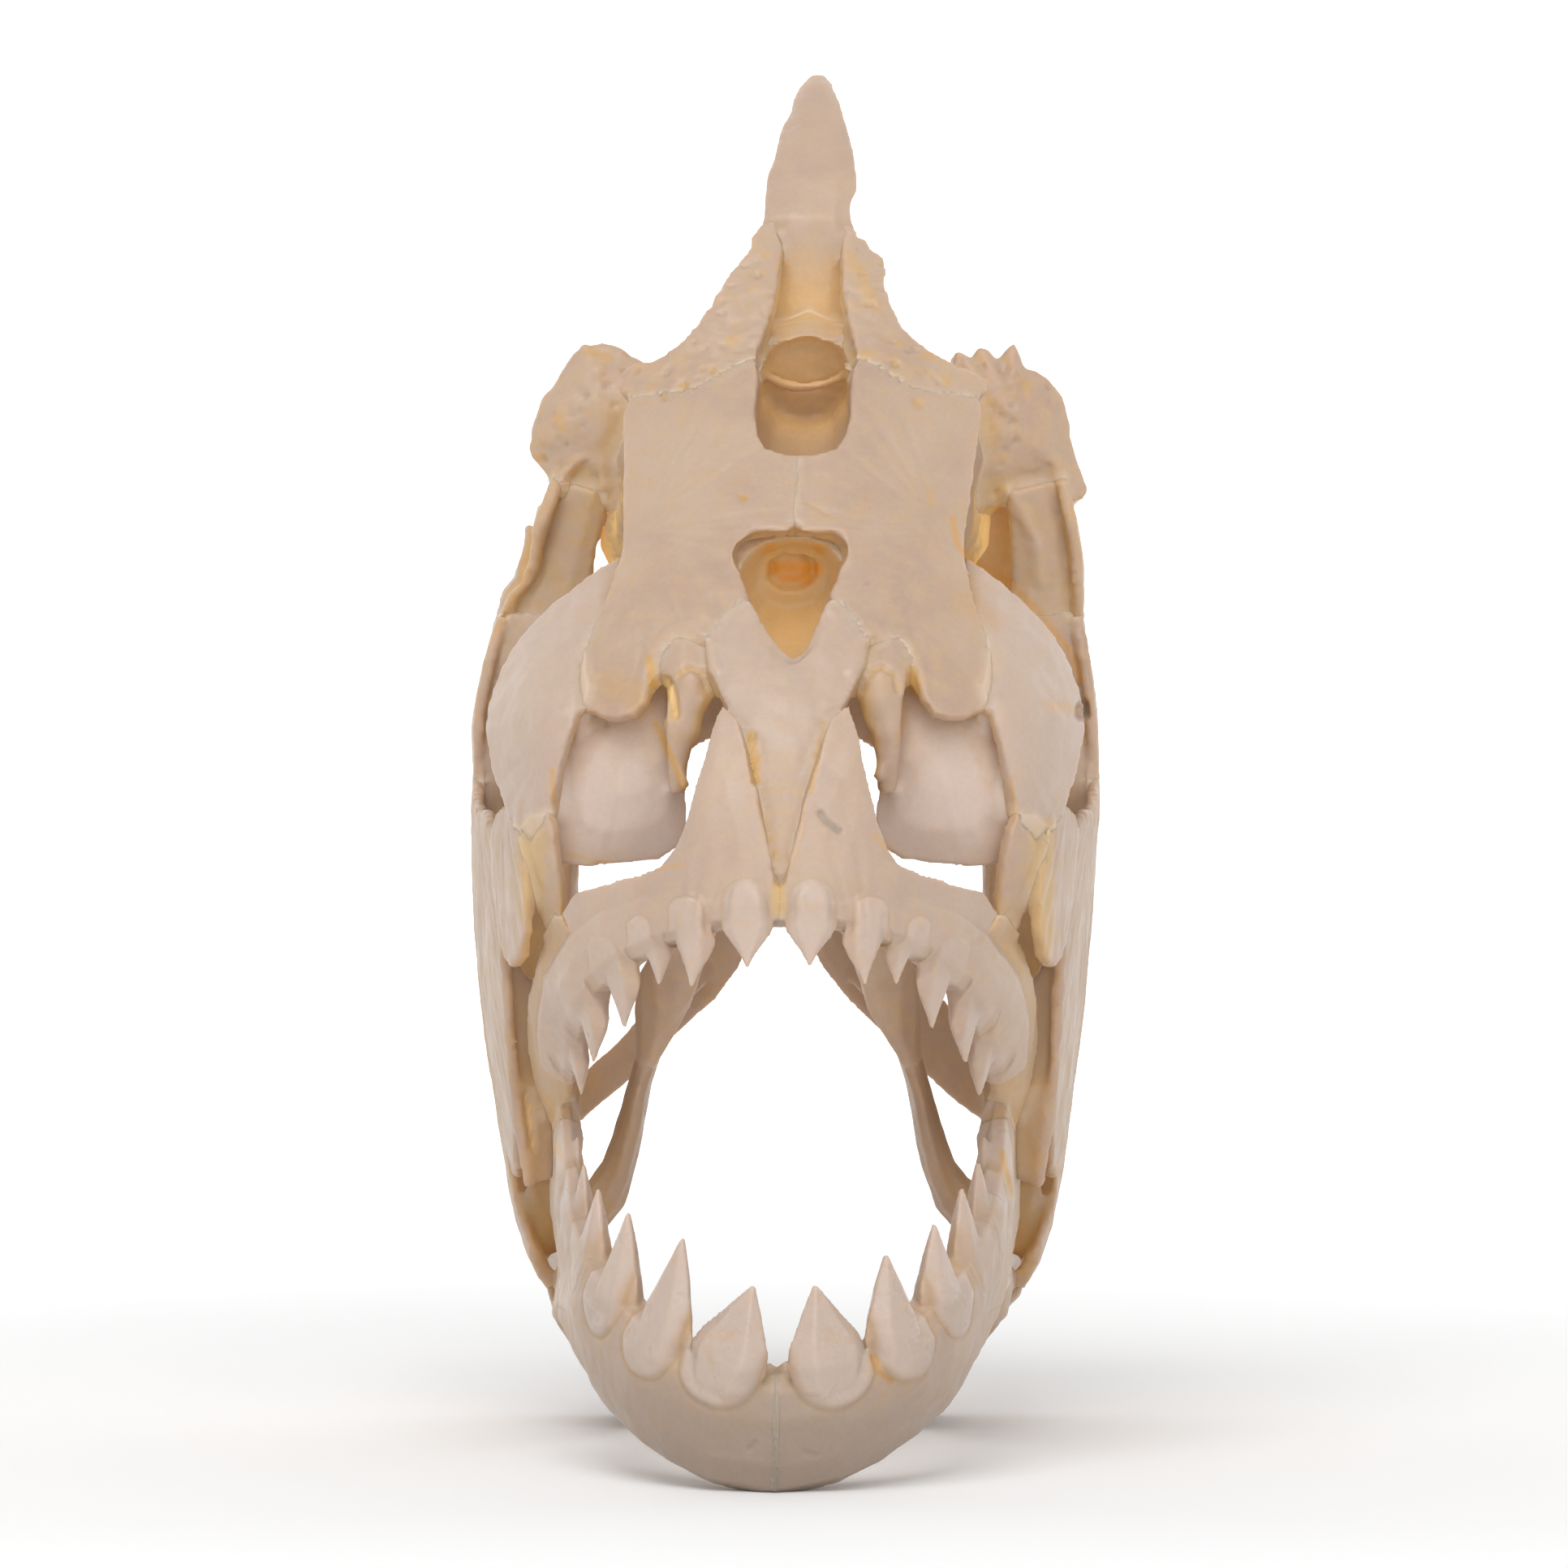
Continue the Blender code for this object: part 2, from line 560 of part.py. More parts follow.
LATERAL_ETHMOID = ((2.4, 51.0), (2.2, 47.8), (4.9, 47.0), (6.1, 46.0), (6.3, 43.4), (6.2, 41.2),
                   (7.2, 39.5), (10.2, 39.0), (13.2, 38.8), (14.5, 39.4), (14.6, 42.0), (14.0, 45.4),
                   (12.6, 48.2), (10.8, 49.8), (8.6, 51.0), (5.6, 52.2))
ANTORBITAL = ((11.3, 58.6), (13.2, 57.2), (15.8, 54.9), (18.0, 52.0), (19.1, 48.8), (19.0, 45.6),
              (18.2, 42.8), (16.6, 40.6), (15.2, 40.8), (14.5, 43.4), (13.6, 47.0), (12.4, 50.6),
              (11.6, 54.0), (11.0, 56.8))
FIRST_INFRAORBITAL = ((14.9, 42.0), (16.9, 41.2), (16.2, 38.6), (15.6, 36.0), (15.1, 34.0), (14.0, 34.2),
                      (13.9, 36.6), (14.3, 39.6))
NASAL = (
    (6.2, 19.0, 53.8, 3.4, 1.8, 1, 0, 0),
    (6.2, 16.8, 51.6, 3.6, 2.0, 1, 0, 0),
    (6.2, 15.4, 49.0, 2.8, 1.9, 1, 0, 0),
    (6.7, 15.4, 46.4, 1.7, 1.4, 1, 0, 0),
    (6.7, 16.2, 43.4, 1.2, 1.2, 1, 0, 0),
)


def antorbital_depth(x, z):
    return 15.6 + 0.17 * np.maximum(x - 12, 0) ** 2 + 0.74 * np.maximum(z - 48, 0) + 0.03 * (z - 46) ** 2


def lateral_ethmoid_depth(x, z):
    return 17.6 + 0.045 * ((x - 9.8) ** 2 + (z - 43.6) ** 2)


def snout_bones(side_name, side):
    made = [bar("nasal_" + side_name, NASAL, BONE, stations=7, around=7, side=side)]
    made.append(plate("lateral_ethmoid_" + side_name, LATERAL_ETHMOID, lateral_ethmoid_depth, BONE,
                      thickness=2.0, rim=1.0, rings=3, around=28, side=side, middle=(9.4, 44.6),
                      facing="front"))
    made.append(plate("antorbital_" + side_name, ANTORBITAL, antorbital_depth, BONE, thickness=1.6,
                      rim=0.9, rings=4, around=26, side=side, middle=(15.3, 49.0), facing="front"))
    made.append(plate("infraorbital_1_" + side_name, FIRST_INFRAORBITAL,
                      lambda x, z: antorbital_depth(x, z) - 0.8, BONE, thickness=1.1, rim=0.8, around=16,
                      side=side, facing="front"))
    return made


# Upper jaw

ASCENDING_PROCESS = ((0.3, 35.4), (0.35, 37.6), (0.9, 40.6), (1.6, 43.6), (2.4, 46.4), (3.4, 48.8),
                     (4.2, 47.6), (4.9, 44.8), (5.7, 41.6), (6.8, 38.9), (8.8, 37.9), (12.4, 37.0),
                     (13.6, 35.8), (12.2, 33.8), (8.0, 34.8), (3.8, 35.2))
UPPER_ARCH = (
    (-3.4, 7.5, 36.4, 3.2, 3.2, -0.05, 0.15, 1),
    (0, 7.0, 36.3, 2.8, 2.6, 0, 0.1, 1),
    (3.4, 7.5, 36.4, 3.2, 3.2, 0.05, 0.15, 1),
    (6.6, 9.2, 35.6, 3.8, 3.4, 0.1, 0.2, 1),
    (9.8, 12.4, 34.4, 4.4, 3.4, 0.15, 0.2, 1),
    (12.5, 16.2, 31.9, 5.2, 3.2, 0.2, 0.1, 1),
    (14.1, 20.2, 28.8, 5.2, 2.8, 0.3, -0.2, 1),
    (14.8, 23.4, 25.2, 3.2, 1.8, 0.3, -0.4, 1),
)
# Root, point and width of each upper tooth.
UPPER_TEETH = (
    ((2.0, 6.3, 36.3), (2.0, 5.3, 32.6), 3.3),
    ((5.2, 7.4, 35.8), (5.5, 7.2, 31.3), 3.0),
    ((7.7, 9.8, 34.8), (7.5, 9.8, 31.2), 2.4),
    ((10.0, 12.2, 33.4), (9.7, 12.6, 28.5), 3.4),
    ((11.9, 15.6, 30.8), (11.9, 16.2, 26.2), 3.3),
    ((13.2, 19.8, 27.6), (12.9, 20.2, 23.8), 2.8),
)
MAXILLA = (
    (13.4, 18.6, 35.0, 2.4, 1.6, 0.7, 0.7, 0.3),
    (14.7, 21.6, 31.4, 4.0, 1.8, 0.7, 0.7, 0.3),
    (15.3, 24.8, 27.4, 4.6, 1.6, 0.7, 0.7, 0.3),
    (15.3, 27.2, 24.0, 4.0, 1.3, 0.7, 0.7, 0.3),
    (15.1, 28.8, 21.4, 2.0, 0.9, 0.7, 0.7, 0.3),
)


def snout_depth(x, z):
    return 6.3 + 0.056 * x**2 + 0.055 * np.maximum(z - 37, 0) ** 1.8


def arch_heading(rows, root):
    """Direction of a jaw's arch where it passes nearest to a root."""
    fine = curve_through(rows, 60)[:, :3]
    heading = np.gradient(fine, axis=0)
    return heading[np.argmin(np.linalg.norm(fine - np.array(root), axis=1))]


def upper_jaw(side_name, side):
    pieces = [bar("arch", UPPER_ARCH, BONE, stations=11, around=10, side=side)]
    pieces.append(plate("ascending", ASCENDING_PROCESS, snout_depth, BONE, thickness=1.9, rim=1.1,
                        around=26, side=side, middle=(4.6, 39.4), facing="front"))
    chance = np.random.default_rng(11 if side > 0 else 12)
    for root, point, width in UPPER_TEETH:
        shift = chance.uniform(-0.1, 0.1, 3)
        pieces.append(tooth("tooth", root, np.array(point) + shift, arch_heading(UPPER_ARCH, root),
                            width, 1.2 + 0.3 * width, side, sink=0.5 * width))
    whole = fused(pieces, "premaxilla_" + side_name)
    made = [combine(whole, [midline_cutter(side)], "DIFFERENCE")]
    made.append(bar("maxilla_" + side_name, MAXILLA, BONE, stations=9, around=8, side=side))
    return made


# Lower jaw

LOWER_ARCH = (
    (-3.2, 4.0, 4.3, 8.2, 4.4, -0.1, -0.25, 1),
    (0, 3.4, 3.6, 8.3, 4.2, 0, -0.25, 1),
    (3.2, 4.0, 4.3, 8.2, 4.4, 0.1, -0.25, 1),
    (6.9, 6.8, 5.9, 8.4, 4.3, 0.25, -0.15, 1),
    (10.0, 11.4, 8.3, 9.0, 4.0, 0.25, 0, 1),
    (12.3, 17.4, 11.2, 9.6, 3.4, 0.2, 0, 1),
    (13.8, 23.4, 13.9, 11.4, 2.8, 0.1, 0, 1),
    (14.4, 28.6, 16.4, 15.0, 2.2, 0.05, 0, 1),
    (14.9, 32.6, 13.8, 9.8, 1.8, 0.05, 0, 1),
)
# Root of each lower tooth, its point on the animal's left and on its right, and its width.
LOWER_TEETH = (
    ((2.9, 2.2, 8.4), (2.2, 1.5, 12.8), (1.6, 1.5, 12.9), 5.5),
    ((7.0, 5.0, 9.6), (6.75, 4.7, 14.4), (5.95, 4.7, 15.4), 4.8),
    ((9.9, 9.2, 11.4), (9.8, 9.4, 16.0), (9.4, 9.4, 16.9), 4.2),
    ((11.8, 13.8, 13.4), (11.6, 14.4, 18.0), (11.5, 14.4, 18.1), 3.7),
    ((12.9, 18.0, 15.2), (12.7, 18.8, 19.4), (12.7, 18.8, 19.4), 3.3),
    ((13.5, 21.8, 17.4), (13.3, 22.8, 21.0), (13.3, 22.8, 21.0), 2.8),
    ((13.8, 25.2, 20.4), (13.7, 26.2, 23.4), (13.7, 26.2, 23.4), 2.2),
)
ARTICULAR = (
    (14.4, 29.0, 11.6, 4.0, 1.6, 0, -0.3, 1),
    (14.4, 33.4, 11.2, 7.0, 2.4, 0, -0.3, 1),
    (14.3, 37.4, 11.2, 6.2, 2.7, 0, -0.3, 1),
    (14.3, 40.4, 10.4, 4.8, 2.4, 0, -0.3, 1),
    (14.0, 43.0, 8.8, 2.4, 1.8, 0, -0.3, 1),
)


def lower_jaw(side_name, side):
    pieces = [bar("ramus", LOWER_ARCH, BONE, stations=14, around=12, side=side, squareness=2.6)]
    chance = np.random.default_rng(21 if side > 0 else 22)
    for root, left_point, right_point, width in LOWER_TEETH:
        point = np.array(left_point if side > 0 else right_point) + chance.uniform(-0.1, 0.1, 3)
        pieces.append(tooth("tooth", root, point, arch_heading(LOWER_ARCH, root), width,
                            1.4 + 0.28 * width, side, sink=0.55 * width))
    whole = fused(pieces, "dentary_" + side_name)
    made = [combine(whole, [midline_cutter(side)], "DIFFERENCE")]
    made.append(bar("articular_" + side_name, ARTICULAR, BONE, stations=9, around=9, side=side))
    return made


# Palate and suspensorium

QUADRATE = (
    (15.0, 38.8, 14.4, 3.0, 3.8, 0, 1, 0),
    (12.4, 38.4, 15.4, 4.4, 3.6, 0, 1, 0),
    (11.0, 37.8, 17.6, 5.4, 2.4, 0, 1, 0),
    (10.1, 37.0, 20.4, 6.4, 2.0, 0, 1, 0),
    (9.2, 35.9, 24.2, 6.4, 1.5, 0, 1, 0),
    (8.7, 35.2, 25.8, 5.6, 1.6, 0, 1, 0),
)
PTERYGOID = (
    (8.7, 35.0, 26.2, 4.6, 1.6, 0, 1, 0.3),
    (8.1, 32.6, 28.8, 4.4, 2.6, 0.4, 0.8, 0.5),
    (6.9, 28.6, 31.8, 3.8, 2.8, 1, 0.2, 0.2),
    (5.4, 22.8, 35.0, 3.2, 2.6, 1, 0.2, 0.2),
    (4.2, 16.8, 37.4, 2.4, 2.4, 1, 0.2, 0.2),
)
# The blade is broader on the animal's left.
METAPTERYGOID = (
    (1.7, 41.2, 39.6, 2.0, 1.3, 0.9, 0.3, 0.3),
    (2.9, 42.2, 34.8, 3.4, 1.3, 0.7, 0.5, 0.5),
    (4.6, 43.4, 31.4, 3.6, 1.3, 0.6, 0.5, 0.7),
    (6.6, 44.4, 29.2, 3.4, 1.3, 0.5, 0.4, 0.7),
    (8.6, 45.2, 27.0, 2.9, 1.3, 0.5, 0.4, 0.7),
    (10.2, 45.9, 25.3, 2.6, 1.3, 0.5, 0.3, 0.7),
    (12.5, 46.6, 23.3, 2.7, 1.3, 0.5, 0.3, 0.7),
    (14.6, 47.2, 21.8, 2.9, 1.4, 0.5, 0.3, 0.7),
)
METAPTERYGOID_EXTRA = {"left": 2.4, "right": 0.0}
METAPTERYGOID_ARM = (
    (5.2, 43.4, 31.8, 2.4, 1.3, 0.4, 0.6, 0.6),
    (6.8, 38.8, 30.8, 3.4, 1.4, 0.3, 0.6, 0.6),
    (8.0, 33.4, 29.2, 2.8, 1.4, 0.3, 0.6, 0.6),
)
HYOMANDIBULA = (
    (15.0, 48.2, 66.0, 5.6, 3.4, 0, 1, 0),
    (15.8, 48.2, 60.0, 4.6, 2.4, 0, 1, 0),
    (15.0, 48.2, 50.0, 4.2, 2.2, 0, 1, 0),
    (14.9, 47.8, 40.0, 4.6, 2.0, 0, 1, 0),
    (14.8, 47.0, 31.0, 5.2, 1.8, 0, 1, 0),
    (14.8, 45.4, 23.4, 4.2, 1.6, 0, 1, 0),
    (14.9, 42.0, 18.4, 3.0, 1.4, 0, 1, 0),
)
HYOMANDIBULAR_WING = ((13.8, 65.6), (17.2, 65.4), (18.1, 60.6), (19.3, 54.0), (20.1, 46.0),
                      (19.9, 36.0), (18.9, 25.0), (18.0, 17.6), (16.6, 12.8), (14.7, 13.6),
                      (14.1, 22.0), (14.0, 30.0), (14.0, 46.0), (14.8, 55.0), (14.9, 61.0))
# The wall that closes the back of the animal's left orbit; the right one has lost its own.
ORBIT_WALL = ((11.2, 64.6), (15.2, 65.2), (16.0, 58.0), (15.6, 50.0), (14.2, 48.6), (12.6, 50.6),
              (11.4, 55.0), (10.9, 60.0))


def wing_depth(x, z):
    return 48.4 + 0.06 * (x - 15) ** 2 - 0.004 * (z - 46) ** 2


def palate(side_name, side):
    made = [bar("quadrate_" + side_name, QUADRATE, BONE, stations=8, around=9, side=side)]
    made.append(bar("pterygoid_" + side_name, PTERYGOID, BONE, stations=9, around=8, side=side))
    extra = METAPTERYGOID_EXTRA[side_name]
    rows = METAPTERYGOID[:2] + tuple((x + 0.35 * extra, y, z + 0.35 * extra, w + extra, *rest)
                                     for x, y, z, w, *rest in METAPTERYGOID[2:])
    pieces = [bar("blade", rows, BONE, stations=10, around=8, side=side)]
    pieces.append(bar("arm", METAPTERYGOID_ARM, BONE, stations=5, around=8, side=side))
    made.append(fused(pieces, "metapterygoid_" + side_name))
    pieces = [bar("column", HYOMANDIBULA, BONE, stations=10, around=8, side=side)]
    pieces.append(plate("wing", HYOMANDIBULAR_WING, wing_depth, BONE, thickness=1.2, rim=0.9, rings=2,
                        around=18, side=side, facing="front"))
    if side > 0:
        pieces.append(plate("orbit_wall", ORBIT_WALL, wing_depth, BONE, thickness=1.2, rim=0.9, rings=2,
                            around=14, side=side, facing="front"))
    made.append(fused(pieces, "hyomandibula_" + side_name))
    return made


# Cheek and gill cover, outlines seen from the side

SECOND_INFRAORBITAL = ((19.6, 40.8), (21.6, 42.2), (24.2, 42.4), (27.4, 40.8), (26.6, 36.8), (25.6, 33.0),
                       (22.6, 32.0), (19.8, 33.6), (18.6, 37.2))
THIRD_INFRAORBITAL = ((27.2, 40.9), (31.0, 42.2), (36.6, 42.2), (42.4, 44.0), (48.2, 44.4), (48.8, 36.0),
                      (47.4, 27.4), (42.6, 20.6), (36.4, 17.4), (30.6, 20.4), (27.0, 27.0), (25.8, 33.4))
FOURTH_INFRAORBITAL = ((43.2, 44.4), (48.8, 44.8), (50.0, 50.0), (49.6, 55.0), (44.4, 55.2), (42.8, 50.0))
FIFTH_INFRAORBITAL = ((44.4, 54.5), (49.6, 54.8), (49.0, 60.0), (46.6, 64.6), (42.6, 65.0), (41.8, 62.0),
                      (43.2, 58.6))
# How far the wall behind the eye stands out or in at its top.
ORBIT_BACK_SHIFT = {"left": 0.6, "right": -0.8}
# Shelves that turn in from the cheek behind the eye.
FOURTH_SHELF = (
    (18.8, 43.8, 44.9, 3.8, 1.3, 1, 0.2, 0),
    (18.2, 43.6, 48.6, 4.6, 1.4, 1, 0.2, 0),
    (17.6, 43.8, 52.0, 5.0, 1.4, 1, 0.2, 0),
    (17.1, 44.4, 55.2, 5.4, 1.3, 1, 0.2, 0),
)
FIFTH_SHELF = (
    (17.0, 44.6, 54.6, 5.0, 1.3, 1, 0.2, 0),
    (16.5, 44.2, 58.4, 4.6, 1.4, 1, 0.2, 0),
    (15.8, 43.4, 61.8, 3.8, 1.4, 1, 0.2, 0),
    (15.3, 42.9, 64.2, 3.6, 1.3, 1, 0.2, 0),
)
OPERCLE_TALL = ((52.8, 62.8), (58.0, 63.2), (64.0, 60.0), (69.0, 53.0), (71.2, 45.0), (70.2, 37.0),
                (66.2, 30.4), (60.6, 25.6), (54.0, 21.0), (52.6, 30.0), (52.2, 40.0), (52.2, 52.0))
OPERCLE_LOW = ((52.8, 58.8), (57.6, 60.0), (63.4, 57.8), (68.6, 52.0), (71.0, 44.6), (70.0, 36.6),
               (66.0, 30.0), (60.4, 25.2), (53.8, 20.8), (52.6, 30.0), (52.2, 40.0), (52.2, 51.0))
PREOPERCLE = (
    (51.2, 61.8, 2.6, 1.0),
    (51.0, 52.0, 3.2, 1.1),
    (50.6, 40.0, 4.6, 1.2),
    (49.4, 28.0, 7.2, 1.3),
    (46.2, 18.4, 9.2, 1.3),
    (40.8, 13.2, 7.0, 1.2),
    (36.4, 11.4, 3.6, 1.0),
)
INTEROPERCLE = ((36.6, 7.4), (38.4, 9.6), (41.8, 11.4), (46.4, 13.8), (51.6, 17.0), (55.4, 17.6),
                (58.2, 16.6), (59.4, 13.4), (57.0, 6.6), (52.6, 0.6), (48.6, -1.2), (44.0, -0.2),
                (39.6, 3.4))
SUBOPERCLE = (
    (54.8, 18.2, 4.8, 0.9),
    (59.2, 21.0, 6.4, 0.9),
    (63.0, 23.2, 7.2, 0.9),
    (68.8, 28.4, 7.2, 0.9),
    (72.2, 36.0, 5.0, 0.8),
    (72.5, 42.8, 2.2, 0.7),
)
PREOPERCLE_INSET = 0.2
SUBOPERCLE_INSET = 0.1
INTEROPERCLE_INSET = 0.2


def side_ribbon(rows, inset):
    """Bar rows for a strip in the head's side wall, from (y, z, width, thickness) rows."""
    rows = curve_through([(y, z, 0, w, t) for y, z, w, t in rows], 2 * len(rows))
    heading = unit(np.gradient(rows[:, :2], axis=0))
    made = []
    for (y, z, _, w, t), (dy, dz) in zip(rows, heading):
        step = 0.5
        upper = head_side(y + dz * step, z - dy * step)
        lower = head_side(y - dz * step, z + dy * step)
        made.append((head_side(y, z) - inset, y, z, w, t, upper - lower, dz * 2 * step, -dy * 2 * step))
    return made


def cheek_wall(y, z):
    return head_side(y, z) - 0.3


def gill_cover(side_name, side):
    outline = OPERCLE_TALL if side > 0 else OPERCLE_LOW
    made = [plate("opercle_" + side_name, outline, head_side, BONE, thickness=1.0, rim=0.8, rings=3,
                  around=24, side=side, middle=(60, 43))]
    made.append(bar("preopercle_" + side_name, side_ribbon(PREOPERCLE, PREOPERCLE_INSET), BONE,
                    stations=13, around=8, side=side))
    made.append(bar("subopercle_" + side_name, side_ribbon(SUBOPERCLE, SUBOPERCLE_INSET), BONE,
                    stations=9, around=8, side=side))
    made.append(plate("interopercle_" + side_name, INTEROPERCLE,
                      lambda y, z: head_side(y, z) - INTEROPERCLE_INSET, BONE, thickness=1.0, rim=0.8,
                      side=side))
    return made


def orbit_back_shift(side_name, z):
    return ORBIT_BACK_SHIFT[side_name] * np.clip((z - 54.5) / 4, 0, 1)


def cheek(side_name, side):
    def drawn_wall(y, z):
        return cheek_wall(y, z) + orbit_back_shift(side_name, z)

    drawn_shelf = [(x + orbit_back_shift(side_name, z), y, z, *rest) for x, y, z, *rest in FIFTH_SHELF]
    made = [plate("infraorbital_2_" + side_name, SECOND_INFRAORBITAL, cheek_wall, BONE, thickness=1.0,
                  rim=0.8, around=14, side=side)]
    made.append(plate("infraorbital_3_" + side_name, THIRD_INFRAORBITAL, cheek_wall, BONE, thickness=0.9,
                      rim=0.7, side=side))
    for name, outline, drape, shelf in (
        ("infraorbital_4_", FOURTH_INFRAORBITAL, cheek_wall, FOURTH_SHELF),
        ("infraorbital_5_", FIFTH_INFRAORBITAL, drawn_wall, drawn_shelf),
    ):
        pieces = [plate("wall", outline, drape, BONE, thickness=0.9, rim=0.7, rings=2, around=12,
                        side=side)]
        pieces.append(bar("shelf", shelf, BONE, stations=4, around=8, side=side))
        made.append(fused(pieces, name + side_name))
    return made


def centre_over_box(bones):
    """Moves the bones level until the middle of their common box is over the origin."""
    corners = np.array([bounds(bone) for bone in bones])
    middle = (corners[:, 0].min(0) + corners[:, 1].max(0)) / 2
    for bone in bones:
        bone.data.transform(Matrix.Translation((-middle[0], -middle[1], 0)))


def skull():
    clear_scene()
    ground = box("ground", (-60, -60, -20), (60, 140, REST_LEVEL))
    order = [mesethmoid(), supraoccipital()]
    for side_name, side in SIDES:
        order += upper_jaw(side_name, side) + lower_jaw(side_name, side)
        order += skull_roof(side_name, side)
    order += [bar("parasphenoid", PARASPHENOID, BONE, stations=11, around=8)]
    order += [braincase(), orbitosphenoid()]
    for side_name, side in SIDES:
        order += snout_bones(side_name, side) + palate(side_name, side)
        order += cheek(side_name, side) + gill_cover(side_name, side)
    finished = []
    for bone in order:
        part_from(bone, finished)
        if bounds(bone)[0][2] < REST_LEVEL * MM:
            combine(bone, [ground], "DIFFERENCE", keep_others=True)
        finished.append(bone)
    bpy.data.objects.remove(ground)
    centre_over_box(finished)
    skull_collection = bpy.data.collections.new("piranha_skull")
    bpy.context.scene.collection.children.link(skull_collection)
    for bone in finished:
        bpy.context.scene.collection.objects.unlink(bone)
        skull_collection.objects.link(bone)
    return finished


BONES = skull()
print(len(BONES), "bones,", sum(len(b.data.polygons) for b in BONES), "triangles")
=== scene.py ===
"""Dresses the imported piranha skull: each bone as a finely modelled piece, and a studio.

Sizes are millimetres in the solids' own table frame: x to the animal's left of the midline, which
leans, y backwards from the chin, z up from the floor. Meshes are shaped in millimetres, in the
part's frame, and shown in metres.
"""

import itertools
import math

import bmesh
import bpy
import numpy as np
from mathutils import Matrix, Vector
from mathutils.bvhtree import BVHTree


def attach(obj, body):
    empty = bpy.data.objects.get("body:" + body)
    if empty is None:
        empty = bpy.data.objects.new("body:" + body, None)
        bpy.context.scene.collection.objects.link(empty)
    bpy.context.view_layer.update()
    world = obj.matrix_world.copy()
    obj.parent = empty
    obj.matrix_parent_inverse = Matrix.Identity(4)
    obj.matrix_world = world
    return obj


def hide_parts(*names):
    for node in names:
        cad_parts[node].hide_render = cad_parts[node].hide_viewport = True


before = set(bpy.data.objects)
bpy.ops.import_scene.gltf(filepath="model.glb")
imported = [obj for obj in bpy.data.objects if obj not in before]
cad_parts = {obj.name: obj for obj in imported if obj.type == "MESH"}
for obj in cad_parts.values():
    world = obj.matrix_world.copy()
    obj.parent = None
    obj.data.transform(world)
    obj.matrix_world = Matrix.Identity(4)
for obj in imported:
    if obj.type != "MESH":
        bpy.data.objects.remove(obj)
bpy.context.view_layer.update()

MM = 0.001
TINY = 1e-9
# The table frame's origin in the part's frame, and the midline's lean at each height.
TABLE_ORIGIN = np.array((0.12, -36.78, 0.0))
LEAN = ((0, -0.65), (8, -0.45), (38, -0.3), (55, 0.3), (67.5, 1.15), (80, 1.85), (93.5, 2.4))
# Size of the cells that each bone's surface is made from anew.
FINE_CELL = 0.22
COARSE_CELL = 0.30
JAW_CELL = 0.15
JAWS = ("premaxilla", "dentary")
COARSE_BONES = ("opercle", "subopercle", "preopercle", "interopercle", "hyomandibula", "braincase",
                "parasphenoid", "infraorbital_3", "articular")
CAMERA_HEIGHT = 43.9
CAMERA_DISTANCE = 400.0
# The photograph's frame: its middle, and its pixels per millimetre at the table's origin.
MIDDLE, PER_MM = 966.0, 20.0
# Steps in which a curve is measured between two of its rows.
CURVE_STEPS = 40


def along(pairs, value):
    """A smooth function of one number through (number, value) pairs."""
    known, heights = np.array(pairs, float).T
    slopes = np.gradient(heights, known)
    value = np.clip(value, known[0], known[-1])
    k = np.clip(np.searchsorted(known, value, side="right") - 1, 0, len(known) - 2)
    span = known[k + 1] - known[k]
    u = (value - known[k]) / span
    return ((2 * u**3 - 3 * u**2 + 1) * heights[k] + (u**3 - 2 * u**2 + u) * span * slopes[k]
            + (3 * u**2 - 2 * u**3) * heights[k + 1] + (u**3 - u**2) * span * slopes[k + 1])


def curve_through(rows, count, closed=False):
    """Evenly spread rows on a Catmull-Rom curve through the given ones."""
    rows = np.array(rows, float)
    last = len(rows) if closed else len(rows) - 1
    if closed:
        around = np.vstack([rows[-1], rows, rows[0], rows[1]])
    else:
        around = np.vstack([2 * rows[0] - rows[1], rows, 2 * rows[-1] - rows[-2]])

    def at(t):
        k = np.minimum(t.astype(int), last - 1)
        u = (t - k)[:, None]
        a, b, c, d = (around[k + i] for i in range(4))
        return 0.5 * (2 * b + (c - a) * u + (2 * a - 5 * b + 4 * c - d) * u**2
                      + (3 * b - a - 3 * c + d) * u**3)

    fine_t = np.linspace(0, last, CURVE_STEPS * last + 1)
    fine = at(fine_t)
    steps = np.linalg.norm(np.diff(fine[:, :3], axis=0), axis=1)
    run = np.concatenate([[0], np.cumsum(steps)])
    wanted = np.linspace(0, run[-1], count + 1)[:-1] if closed else np.linspace(0, run[-1], count)
    return at(np.interp(wanted, run, fine_t))


def unit(vectors):
    """The vectors' directions, each of length 1."""
    return vectors / np.maximum(np.linalg.norm(vectors, axis=-1, keepdims=True), TINY)


def ramp(value, low, high):
    """A smooth step from 0 at low to 1 at high."""
    u = np.clip((value - low) / (high - low), 0, 1)
    return u * u * (3 - 2 * u)


def to_table(places):
    """Places in the part's frame, in millimetres, as table places clear of the lean."""
    table = places - TABLE_ORIGIN
    table[:, 0] -= along(LEAN, table[:, 2])
    return table


def from_table(points):
    """Table places, with the lean, as places in the part's frame."""
    places = np.array(points, float)
    places[:, 0] += along(LEAN, places[:, 2])
    return places + TABLE_ORIGIN


def seen(places):
    """Where places of the part's frame stand in the photograph's frame."""
    table = places - TABLE_ORIGIN
    scale = PER_MM * CAMERA_DISTANCE / (CAMERA_DISTANCE + table[:, 1])
    across = MIDDLE + scale * table[:, 0]
    down = MIDDLE - scale * (table[:, 2] - CAMERA_HEIGHT)
    return np.stack([across, down], 1)


